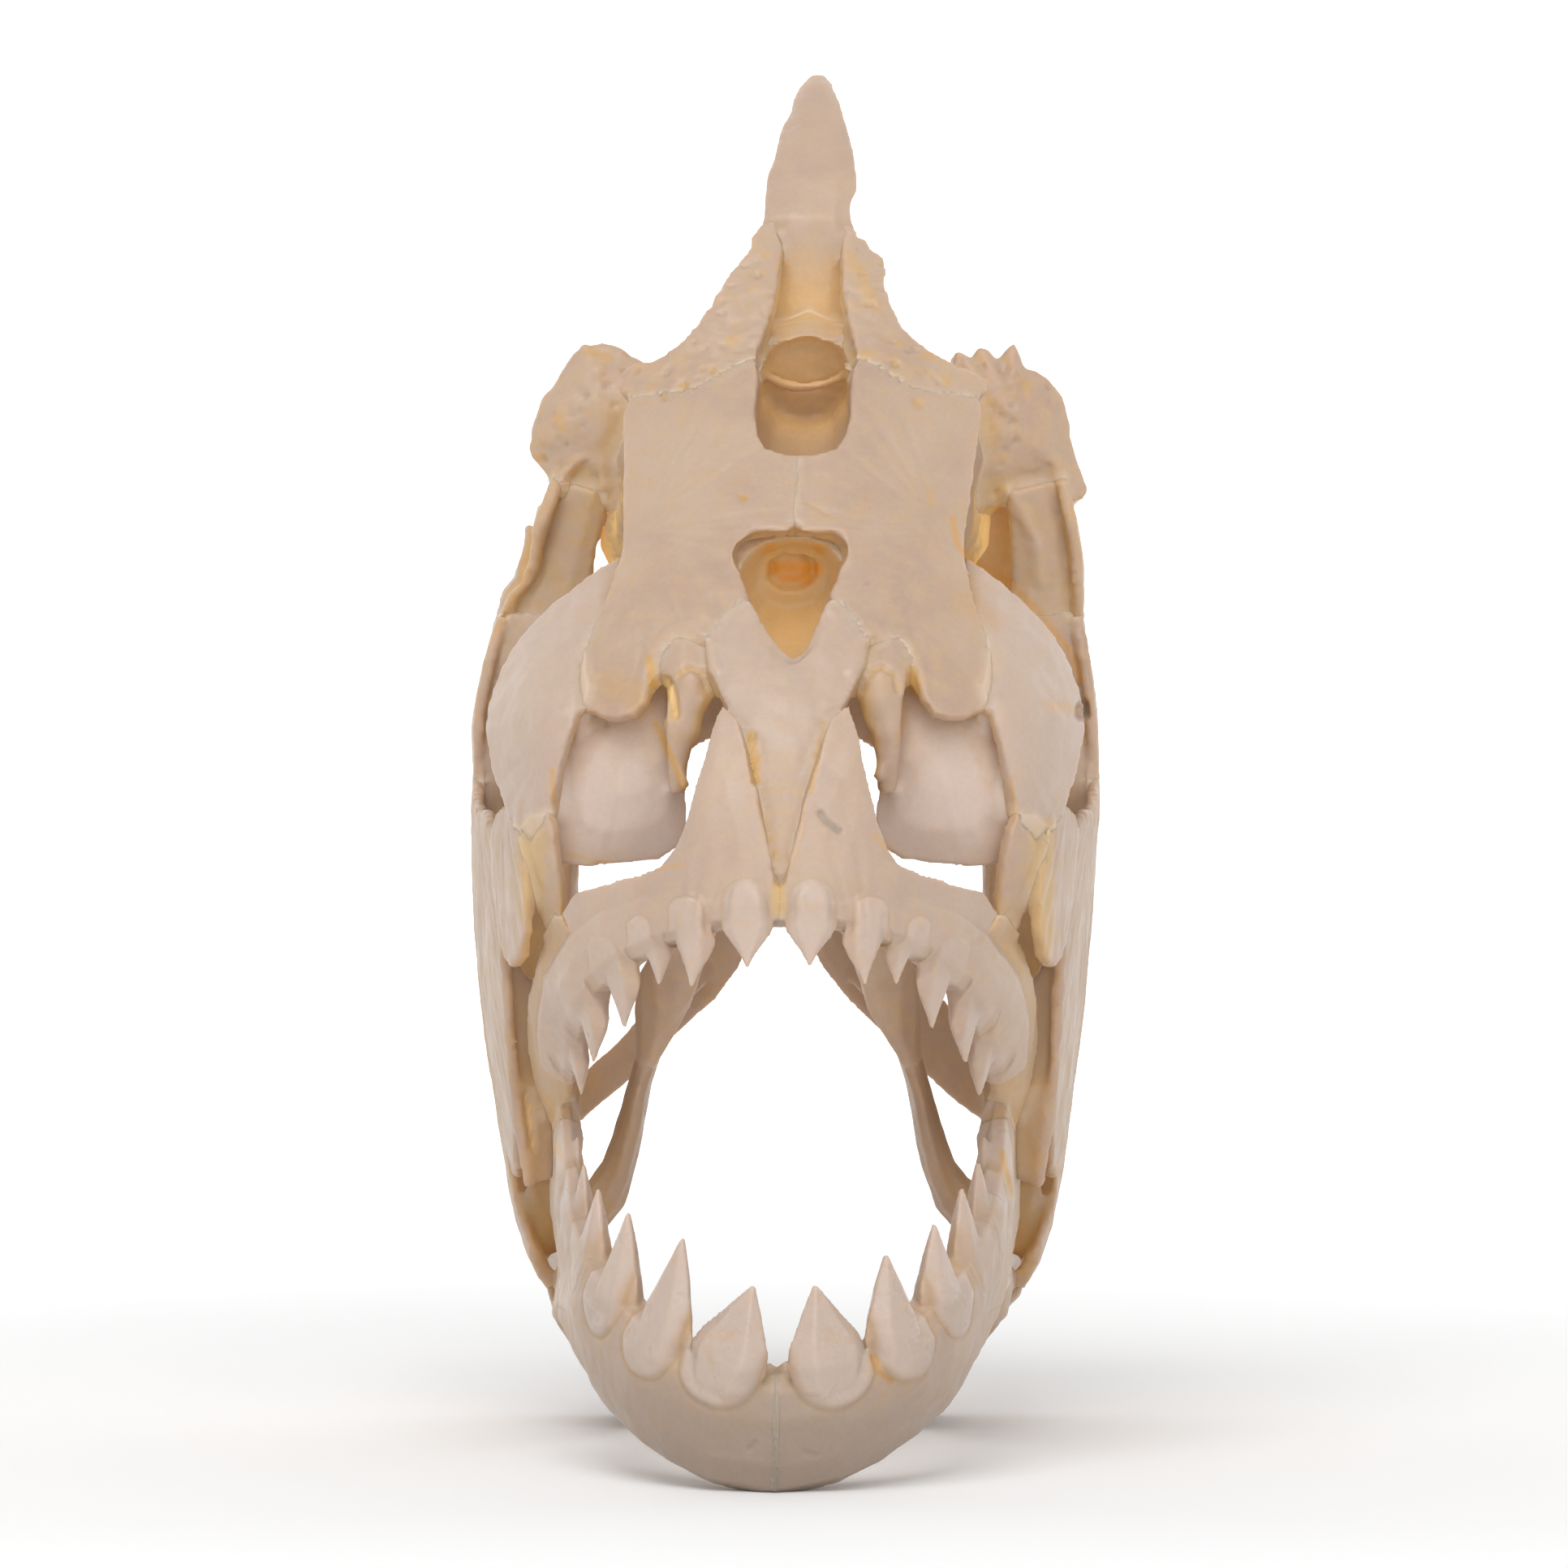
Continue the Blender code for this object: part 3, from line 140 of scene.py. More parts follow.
def shifted(places, shift):
    """Places moved by as many of the photograph's pixels across and down."""
    per_pixel = (CAMERA_DISTANCE + places[:, 1] - TABLE_ORIGIN[1]) / (PER_MM * CAMERA_DISTANCE)
    moved = places.copy()
    moved[:, 0] += shift[:, 0] * per_pixel
    moved[:, 2] -= shift[:, 1] * per_pixel
    return moved


# Noise

# Odd numbers that stir a cell's whole numbers and its seed into one number of 32 bits.
AXIS_MIX = (0x8DA6B343, 0xD8163841, 0xCB1AB31F)
SEED_MIX = 0x9E3779B9
STIRS = ((1, 16), (0x7FEB352D, 15), (0x846CA68B, 16))
BITS_32 = 0xFFFFFFFF
# Layers of rough noise, each finer, and how strong each is beside the last.
LAYERS, LAYER_SHARE = 3, 0.55


def hashed(cells, seed):
    """A repeatable random number from 0 to 1 for each whole-numbered cell."""
    x, y, z = ((cells[:, k] & BITS_32).astype(np.uint32) * np.uint32(AXIS_MIX[k]) for k in range(3))
    h = x + y + z + np.uint32((seed * SEED_MIX) & BITS_32)
    for stir, shift in STIRS:
        h = h * np.uint32(stir)
        h ^= h >> np.uint32(shift)
    return h.astype(float) / BITS_32


def lumps(places, size, seed):
    """Smooth noise from -1 to 1 whose lumps are about size across."""
    scaled = places / size
    cell = np.floor(scaled).astype(np.int64)
    f = scaled - cell
    u = f**3 * (f * (f * 6 - 15) + 10)
    total = np.zeros(len(places))
    for corner in itertools.product((0, 1), repeat=3):
        weight = np.prod(np.where(corner, u, 1 - u), axis=1)
        total += weight * (2 * hashed(cell + np.array(corner), seed) - 1)
    return total


def rough(places, size, seed):
    """Noise like lumps, with ever finer layers on it."""
    return sum(lumps(places, size / 2**k, seed + k) * LAYER_SHARE**k for k in range(LAYERS))


def pore_distance(places, size, seed):
    """Distance to the nearest of the points scattered one to a cell of the given size."""
    cell = np.floor(places / size).astype(np.int64)
    nearest = np.full(len(places), np.inf)
    for step in itertools.product((-1, 0, 1), repeat=3):
        there = cell + np.array(step)
        point = np.stack([hashed(there, seed + k) for k in range(3)], 1)
        gap = np.linalg.norm((there + point) * size - places, axis=1)
        nearest = np.minimum(nearest, gap)
    return nearest


# Meshes

# A rod's sides, the length between its rings, and the fewest of them.
ROD_SIDES, ROD_STEP, ROD_LEAST = 16, 0.25, 4
# The two rings that round off a rod's end: how far past it, and how wide, in shares of its radius.
END_RINGS = ((0.55, 0.83), (0.88, 0.42))
# A direction that no rod takes, from which its rings are turned.
OFF_AXIS = (0.31, 0.2, 0.93)
# How near to each other a solid's corners are one.
WELD = 0.001
# Smoothing goes a step in and a slightly longer one out.
STEP_IN, STEP_OUT = 0.5, -0.53


def plain_name(node):
    """A node's name without its side."""
    return node.replace("_left", "").replace("_right", "")


def read_mesh(mesh, layer="co"):
    """The places of a mesh's points or, of the layer called normal, the ways that they face."""
    values = np.empty(len(mesh.vertices) * 3, np.float32)
    mesh.vertices.foreach_get(layer, values)
    return values.reshape(-1, 3).astype(float)


def write_places(mesh, places):
    """Moves a mesh's points to new places."""
    mesh.vertices.foreach_set("co", places.astype(np.float32).ravel())
    mesh.update()


def placed(name, data):
    """An object with the given data, in the scene."""
    made = bpy.data.objects.new(name, data)
    bpy.context.scene.collection.objects.link(made)
    return made


def store(mesh, name, values):
    """Keeps a number from 0 to 1 at each point of a mesh, for its material to read."""
    layer = mesh.attributes.new(name, "FLOAT", "POINT")
    layer.data.foreach_set("value", np.clip(values, 0, 1).astype(np.float32))


def rod(rows):
    """A closed rounded rod through rows of x, y, z and radius, all in the table frame."""
    rows = np.array(rows, float)
    length = np.linalg.norm(np.diff(rows[:, :3], axis=0), axis=1).sum()
    rows = curve_through(rows, max(int(length / ROD_STEP), ROD_LEAST))
    middles, radii = rows[:, :3], rows[:, 3]
    heading = unit(np.gradient(middles, axis=0))
    past, wide = np.array(END_RINGS).T
    ahead = middles[-1] + heading[-1] * radii[-1] * past[:, None]
    behind = middles[0] - heading[0] * radii[0] * past[::-1, None]
    middles = np.vstack([behind, middles, ahead])
    radii = np.concatenate([radii[0] * wide[::-1], radii, radii[-1] * wide])
    heading = np.vstack([heading[:1], heading[:1], heading, heading[-1:], heading[-1:]])
    side = unit(np.cross(heading, OFF_AXIS))
    other = np.cross(heading, side)
    turns = np.linspace(0, 2 * math.pi, ROD_SIDES, endpoint=False)
    rings = (middles[:, None] + radii[:, None, None] * (np.cos(turns)[:, None] * side[:, None]
             + np.sin(turns)[:, None] * other[:, None]))
    faces = [tuple(range(ROD_SIDES))[::-1]]
    for r in range(len(rings) - 1):
        for n in range(ROD_SIDES):
            here, after = r * ROD_SIDES + n, r * ROD_SIDES + (n + 1) % ROD_SIDES
            faces.append((here, after, after + ROD_SIDES, here + ROD_SIDES))
    last = (len(rings) - 1) * ROD_SIDES
    faces.append(tuple(last + n for n in range(ROD_SIDES)))
    return rings.reshape(-1, 3), faces


def both(name, *rods):
    """The same rods for the bone of each side."""
    mirrored = tuple(tuple((-x, y, z, r) for x, y, z, r in rows) for rows in rods)
    return {name + "_left": rods, name + "_right": mirrored}


# Rounded forms that the solids leave out, fused to their bones: x, y, z and radius along each.
RODS = {
    "nasal_right": (
        ((-6.1, 14.9, 50.5, 0.80), (-6.05, 14.8, 49.6, 0.86), (-5.95, 14.8, 47.6, 0.80),
         (-5.9, 15.0, 46.9, 0.6)),
        ((-7.5, 15.1, 47.9, 0.22), (-6.9, 14.7, 46.2, 0.28), (-6.2, 14.6, 43.8, 0.34)),
    ),
    "nasal_left": (
        ((6.0, 14.9, 50.3, 1.05), (6.0, 14.8, 49.2, 1.15), (6.05, 14.9, 47.9, 0.9),
         (6.1, 15.0, 47.3, 0.6)),
        ((7.2, 15.0, 48.0, 0.22), (6.8, 14.7, 46.4, 0.28), (6.2, 14.6, 44.4, 0.30)),
    ),
    "sphenotic_right": (
        ((-16.1, 42.2, 63.9, 0.45), (-16.0, 42.0, 64.9, 0.45), (-15.2, 41.8, 65.8, 0.4),
         (-14.1, 41.8, 66.0, 0.4), (-13.3, 41.8, 65.4, 0.45), (-13.0, 41.9, 64.3, 0.5)),
    ),
    # A nodule, and what fills the slots beside the bone from behind.
    "mesethmoid": (
        ((0.0, 6.8, 38.8, 0.42), (0.0, 6.8, 37.4, 0.46), (0.05, 6.9, 36.2, 0.34)),
        ((-1.7, 10.2, 46.4, 0.45), (-1.45, 8.85, 44.1, 0.45), (-1.05, 7.9, 42.0, 0.42),
         (-0.7, 7.35, 40.4, 0.4), (-0.15, 6.85, 38.3, 0.35)),
        ((2.65, 10.4, 46.6, 0.45), (2.1, 8.97, 44.1, 0.45), (1.65, 8.0, 42.0, 0.42),
         (1.2, 7.4, 40.4, 0.4), (0.4, 6.85, 38.3, 0.35)),
    ),
    "dentary_right": (((-0.45, 2.0, 6.6, 0.42), (-0.42, 1.9, 7.7, 0.32)),),
    "dentary_left": (((0.5, 2.0, 6.6, 0.42), (0.52, 1.9, 7.85, 0.32)),),
    "braincase": (
        ((-2.9, 38.9, 71.7, 0.34), (-1.5, 38.9, 71.0, 0.34), (0.0, 38.9, 70.75, 0.34),
         (1.5, 38.9, 71.0, 0.34), (2.9, 38.9, 71.7, 0.34)),
    ),
    "orbitosphenoid": (((0.0, 28.5, 58.0, 2.3), (0.0, 30.5, 58.0, 2.3)),),
    **both("lateral_ethmoid",
           ((13.0, 17.9, 46.8, 0.6), (12.95, 17.7, 48.3, 0.8), (12.7, 17.9, 49.4, 0.6))),
    **both("infraorbital_4",
           ((20.9, 42.9, 46.2, 0.5), (20.8, 42.7, 43.8, 0.55), (20.6, 42.7, 41.4, 0.5)),
           ((20.0, 42.9, 46.4, 0.55), (19.9, 42.7, 43.8, 0.6), (19.7, 42.7, 41.4, 0.5))),
    **both("preopercle", ((17.2, 38.6, 16.6, 0.6), (16.9, 38.4, 14.2, 0.7), (16.6, 38.4, 12.4, 0.6)),
           ((16.5, 38.8, 16.8, 0.6), (16.2, 38.6, 14.4, 0.65), (15.9, 38.6, 12.9, 0.5))),
    **both("infraorbital_3",
           *(((18.3 - 0.62 * k, 27.9 + 0.3 * k, 32.5 - 0.8 * k, 0.4),
              (18.0 - 0.62 * k, 28.4 + 0.3 * k, 25.0, 0.52),
              (17.2 - 0.62 * k, 29.5 + 0.3 * k, 17.5 + 0.4 * k, 0.45)) for k in range(4))),
}


def cell_size(node):
    """The size of the cells that a bone's surface is made from."""
    plain = plain_name(node)
    if plain in JAWS:
        return JAW_CELL
    return COARSE_CELL if plain in COARSE_BONES else FINE_CELL


def remeshed(node):
    """A node's solid, with the rods on it, as a new mesh of even cells, in millimetres."""
    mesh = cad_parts[node].data.copy()
    form = bmesh.new()
    form.from_mesh(mesh)
    bmesh.ops.scale(form, vec=Vector((1 / MM,) * 3), verts=form.verts)
    bmesh.ops.remove_doubles(form, verts=form.verts, dist=WELD)
    for rows in RODS.get(node, ()):
        points, faces = rod(rows)
        made = [form.verts.new(point) for point in from_table(points)]
        for face in faces:
            form.faces.new([made[k] for k in face])
    bmesh.ops.recalc_face_normals(form, faces=form.faces)
    form.to_mesh(mesh)
    form.free()
    work = placed("work", mesh)
    modifier = work.modifiers.new("cells", "REMESH")
    modifier.mode = "VOXEL"
    modifier.voxel_size = cell_size(node)
    graph = bpy.context.evaluated_depsgraph_get()
    made = bpy.data.meshes.new_from_object(work.evaluated_get(graph))
    bpy.data.objects.remove(work)
    made.materials.clear()
    return made


def smoothed(mesh, rounds, freedom):
    """Evens out a mesh without shrinking it, each round a step in and a step out."""
    places = read_mesh(mesh)
    ends = np.empty(len(mesh.edges) * 2, np.int64)
    mesh.edges.foreach_get("vertices", ends)
    a, b = ends[0::2], ends[1::2]
    degree = np.maximum(np.bincount(ends, minlength=len(places)), 1)[:, None]
    for step in (STEP_IN, STEP_OUT) * rounds:
        total = np.stack([np.bincount(a, places[b, k], len(places))
                          + np.bincount(b, places[a, k], len(places)) for k in range(3)], 1)
        places = places + step * freedom[:, None] * (total / degree - places)
    write_places(mesh, places)


# Seams

# Distances to the next bone: where a seam is looked for, where points are drawn to it in full, and
# where no longer.
SEAM_REACH, SEAM_FULL, SEAM_EDGE = 0.9, 0.42, 0.70
# More than half the gap, so that the rounded edges of two bones meet along their whole seam.
SEAM_SHARE = 0.80
# The strength of the painted light that pales the shaded crease of a seam, and the distance within
# which it is full.
SEAM_PAINTED_LIGHT, SEAM_CORE = 0.6, 0.15
# How far edges swell along a seam, so that it is a shallow line, and within what distance.
SEAM_SWELL, SWELL_CORE = 0.09, 0.3


def cad_trees():
    """A search tree of each node's solid, with its lowest and highest corners, in millimetres."""
    trees = {}
    for node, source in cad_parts.items():
        places = read_mesh(source.data) / MM
        faces = [tuple(face.vertices) for face in source.data.polygons]
        tree = BVHTree.FromPolygons([Vector(p) for p in places], faces)
        trees[node] = (tree, places.min(0), places.max(0))
    return trees


def seam_pull(mesh, node, trees):
    """How far each point is from the nearest other bone, and the way there."""
    places = read_mesh(mesh)
    low, high = places.min(0) - SEAM_REACH, places.max(0) + SEAM_REACH
    pull = np.zeros_like(places)
    closest = np.full(len(places), SEAM_REACH)
    for other, (tree, other_low, other_high) in trees.items():
        if other == node or (other_low > high).any() or (other_high < low).any():
            continue
        inside = ((places > other_low - SEAM_REACH) & (places < other_high + SEAM_REACH)).all(1)
        for k in np.nonzero(inside)[0]:
            found = tree.find_nearest(places[k], closest[k])
            if found[0] is not None:
                closest[k] = found[3]
                pull[k] = np.array(found[0]) - places[k]
    return closest, pull


# Teeth

# Root and point as in the solids, for the lower ones the left and the right point, then the width
# of the crown and of the base, and how far the base reaches over the jaw's front.
UPPER_TEETH = (
    ((2.0, 6.3, 36.3), (2.0, 5.3, 32.6), 2.9, 3.3, 1.3),
    ((5.2, 7.4, 35.8), (5.5, 7.2, 31.3), 2.5, 2.9, 1.0),
    ((7.7, 9.8, 34.8), (7.5, 9.8, 31.2), 2.0, 2.4, 0.9),
    ((10.0, 12.2, 33.4), (9.7, 12.6, 28.5), 2.9, 3.3, 1.1),
    ((11.9, 15.6, 30.8), (11.9, 16.2, 26.2), 2.9, 3.2, 1.1),
    ((13.2, 19.8, 27.6), (12.9, 20.2, 23.8), 2.5, 2.8, 1.0),
)
LOWER_TEETH = (
    ((2.9, 2.2, 8.4), (2.2, 1.5, 12.8), (1.6, 1.5, 12.9), 4.0, 5.6, 3.0),
    ((7.0, 5.0, 9.6), (6.75, 4.7, 14.4), (5.95, 4.7, 15.4), 3.9, 4.9, 2.8),
    ((9.9, 9.2, 11.4), (9.8, 9.4, 16.0), (9.4, 9.4, 16.9), 3.6, 4.2, 2.4),
    ((11.8, 13.8, 13.4), (11.6, 14.4, 18.0), (11.5, 14.4, 18.1), 3.2, 3.7, 2.0),
    ((12.9, 18.0, 15.2), (12.7, 18.8, 19.4), (12.7, 18.8, 19.4), 2.9, 3.3, 1.8),
    ((13.5, 21.8, 17.4), (13.3, 22.8, 21.0), (13.3, 22.8, 21.0), 2.5, 2.8, 1.5),
    ((13.8, 25.2, 20.4), (13.7, 26.2, 23.4), (13.7, 26.2, 23.4), 2.0, 2.2, 1.2),
)
# The rows that the teeth stand in.
UPPER_LINE = ((0, 7.0, 36.3), (3.4, 7.5, 36.4), (6.6, 9.2, 35.6), (9.8, 12.4, 34.4), (12.5, 16.2, 31.9),
              (14.1, 20.2, 28.8), (14.8, 23.4, 25.2))
LOWER_LINE = ((0, 3.4, 3.6), (3.2, 4.0, 4.1), (6.9, 6.8, 5.9), (10.0, 11.4, 8.3), (12.3, 17.4, 11.2),
              (13.8, 23.4, 13.9), (14.4, 28.6, 16.4))
# How far a tooth's base stands out, how deep the groove round it is, where that runs, 1 being the
# line round the base, and how wide it and its darker line of painted shade are.
PROUD, GROOVE, LINE_AT, GROOVE_WIDTH, LINE_WIDTH = 0.22, 0.07, 1.03, 0.07, 0.06
# How much longer the points are, how much wider the upper crowns, and how much smoother all teeth.
STRETCH, FULLER, CALM = 0.05, 0.38, 0.8
# How square a base's outline is, and how flat its front.
LOBE_POWER, DOME_POWER = 2.3, 0.8
# How plainly the upper bases stand out, and how much less the rear ones do.
UPPER_PLAIN, REAR_LESS = 0.6, 0.8
# Where each of these begins and ends: heights on a tooth, then depths in the jaw, the way a surface
# faces, and shares of a crown's width.
LINE_TOP, PROUD_TOP, CALM_FROM, STRETCH_FROM = (0.2, 0.4), (0.1, 0.7), (0.0, 0.4), (0.3, 1.0)
FULLER_FROM, FULLER_TOP, REAR_FROM = (0.15, 0.45), (0.5, 1.0), (9.5, 15.0)
FRONT_FACING, FULLER_SIDES = (0.05, 0.40), (0.5, 0.8)
# How far from its middle and how far up a tooth's surface may lie, and the mark of a point on none.
TOOTH_DEPTH, TOOTH_TOP, OFF_TOOTH = 4.5, 1.3, 9.0
# How many points a row of teeth is taken at.
ROW_POINTS = 60


class Tooth:
    """A tooth of one jaw bone: its sizes, and its ways to its point, along its row and out."""

    def __init__(self, node, root, tip, crown, base, depth):
        self.upper = plain_name(node) == "premaxilla"
        self.crown, self.base, self.depth = crown, base, depth
        self.mirror = np.array((1.0 if node.endswith("left") else -1.0, 1.0, 1.0))
        self.root, tip = np.array(root, float), np.array(tip, float)
        self.height = np.linalg.norm(tip - self.root)
        self.rise = (tip - self.root) / self.height
        row = curve_through(UPPER_LINE if self.upper else LOWER_LINE, ROW_POINTS)
        heading = np.gradient(row, axis=0)[np.argmin(np.linalg.norm(row - self.root, axis=1))]
        self.across = unit(heading - self.rise * (heading @ self.rise))
        self.out = np.cross(self.across, self.rise) * (-1 if self.upper else 1)

    def measure(self, table):
        """How far up the tooth, in shares of its height, along its row and out table places lie."""
        offset = table * self.mirror - self.root
        return offset @ self.rise / self.height, offset @ self.across, offset @ self.out


def teeth_of(node):
    """The teeth of a jaw bone, from the front."""
    if plain_name(node) == "premaxilla":
        return [Tooth(node, *row) for row in UPPER_TEETH]
    return [Tooth(node, root, left if node.endswith("left") else right, *sizes)
            for root, left, right, *sizes in LOWER_TEETH]


def tooth_field(node, places, normals):
    """Where each point of a jaw lies on its nearest tooth.

    It gives how far out on the tooth it is, 1 on the line round the base, how far up, how much it
    is on the front, less where bases hardly stand out, and the way to the tooth's point.
    """
    edge, up = np.full(len(places), OFF_TOOTH), np.full(len(places), -OFF_TOOTH)
    front, way = np.zeros(len(places)), np.zeros_like(places)
    table = to_table(places)
    for tooth in teeth_of(node):
        t, row, out = tooth.measure(table)
        along_row = np.abs(row) / ((tooth.crown if tooth.upper else tooth.base) / 2)
        down = np.maximum(-t * tooth.height / tooth.depth, 0)
        reach = (along_row ** LOBE_POWER + down ** LOBE_POWER) ** (1 / LOBE_POWER)
        near = (reach < edge) & (t < TOOTH_TOP) & (np.abs(out) < TOOTH_DEPTH)
        edge[near], up[near] = reach[near], t[near]
        plainness = UPPER_PLAIN if tooth.upper else 1.0
        plainness *= 1 - REAR_LESS * float(ramp(tooth.root[1], *REAR_FROM))
        facing = normals @ (tooth.out * tooth.mirror)
        front[near] = ramp(facing, *FRONT_FACING)[near] * plainness
        way[near] = tooth.rise * tooth.mirror * tooth.height
    return edge, up, front, way


def base_line(strength, edge, up, front, width):
    """A line of the given strength and width round the bases of the teeth, on their fronts."""
    return strength * np.exp(-((edge - LINE_AT) / width) ** 2) * front * (1 - ramp(up, *LINE_TOP))


def fuller(node, places):
    """Widens the upper teeth's crowns in the middle of their height."""
    table = to_table(places)
    for tooth in teeth_of(node):
        t, row, out = tooth.measure(table)
        share = FULLER * ramp(t, *FULLER_FROM) * (1 - ramp(t, *FULLER_TOP))
        inner, outer = (beside * tooth.crown for beside in FULLER_SIDES)
        share *= (1 - ramp(np.abs(row), inner, outer)) * (np.abs(out) < outer)
        places = places + (tooth.across * tooth.mirror) * (share * row)[:, None]
    return places


def toothed(node, places, normals, lift):
    """A jaw's places and lift, with its teeth drawn out and their bases raised from the bone."""
    edge, up, front, way = tooth_field(node, places, normals)
    dome = np.sqrt(np.maximum(1 - np.minimum(edge, 1) ** 2, 0)) ** DOME_POWER
    lift = lift * (1 - CALM * ramp(up, *CALM_FROM)) + PROUD * dome * front * (1 - ramp(up, *PROUD_TOP))
    lift -= base_line(GROOVE, edge, up, front, GROOVE_WIDTH)
    places = places + way * (STRETCH * ramp(up, *STRETCH_FROM) * (edge < 1))[:, None]
    if plain_name(node) == "premaxilla":
        places = fuller(node, places)
    return places, lift


# Relief

# Growth ridges: centre, the way the bone faces, and how many ridges and how high.
STRIAE = {
    "frontal": ((9.8, 60.5), "front", 60, 0.045),
    "antorbital": ((14.8, 47.5), "front", 44, 0.05),
    "lateral_ethmoid": ((9.8, 46.0), "front", 40, 0.04),
    "premaxilla": ((6.0, 30.0), "front", 70, 0.035),
    "opercle": ((54.0, 60.0), "side", 90, 0.10),
    "infraorbital_2": ((23.0, 46.0), "side", 60, 0.06),
    "infraorbital_3": ((34.0, 45.0), "side", 80, 0.08),
    "infraorbital_4": ((42.0, 50.0), "side", 40, 0.05),
    "infraorbital_5": ((42.0, 58.0), "side", 40, 0.05),
    "interopercle": ((44.0, 12.0), "side", 60, 0.06),
    "supraoccipital": ((40.0, 66.0), "side", 90, 0.05),
    "dentary": ((40.0, 10.0), "side", 70, 0.05),
    "maxilla": ((20.0, 44.0), "side", 60, 0.05),
    "mesethmoid": ((0.0, 70.0), "front", 120, 0.03),
}
# How porous each bone is.
POROUS = {"parietal": 0.9, "sphenotic": 0.75, "braincase": 0.3, "hyomandibula": 0.25,
          "supraoccipital": 0.15, "preopercle": 0.2}
# Noise on the bones, each as size and seed, and its height.
SWELLINGS, GRAINS, NET = (3.2, 11), (0.7, 31), (0.9, 81)
SWELL_HEIGHT, GRAIN_HEIGHT, NET_HEIGHT = 0.07, 0.02, 0.10
# Lumps to a ridge's width, the length in which ridges change, and where they rise from their centre.
RAY_CLOSENESS, RAY_LENGTH, RAY_RISE, RAY_SEED = 1.6, 7, (0.5, 4.0), 51
# The space between pores and its seed, their depth, and the radii of their floor and rim.
PORE_CELLS, PORE_DEPTH, PORE_RADII = (1.15, 71), 0.22, (0.10, 0.42)


def detail(node, places):
    """How far each point of a bone stands out from its smooth form."""
    plain = plain_name(node)
    table = to_table(places)
    height = SWELL_HEIGHT * rough(places, *SWELLINGS) + GRAIN_HEIGHT * lumps(places, *GRAINS)
    if plain in STRIAE:
        (u0, v0), facing, count, size = STRIAE[plain]
        u = np.abs(table[:, 0]) if facing == "front" else table[:, 1]
        du, dv = u - u0, table[:, 2] - v0
        turn = np.arctan2(dv, du) * count / (2 * math.pi)
        reach = np.hypot(du, dv)
        fan = np.stack([turn * RAY_CLOSENESS, reach / RAY_LENGTH, 0 * turn], 1)
        height += size * lumps(fan, 1.0, RAY_SEED) * ramp(reach, *RAY_RISE)
    if plain in POROUS:
        holes = 1 - ramp(pore_distance(places, *PORE_CELLS), *PORE_RADII)
        height += POROUS[plain] * (NET_HEIGHT * lumps(places, *NET) - PORE_DEPTH * holes)
    return height


def mark(wide, *line, lift=0.0, **tones):
    """A mark on the front: its half width, the photograph's pixels along it, its lift and tones."""
    return np.array(line, float).reshape(-1, 2), wide, lift, tones


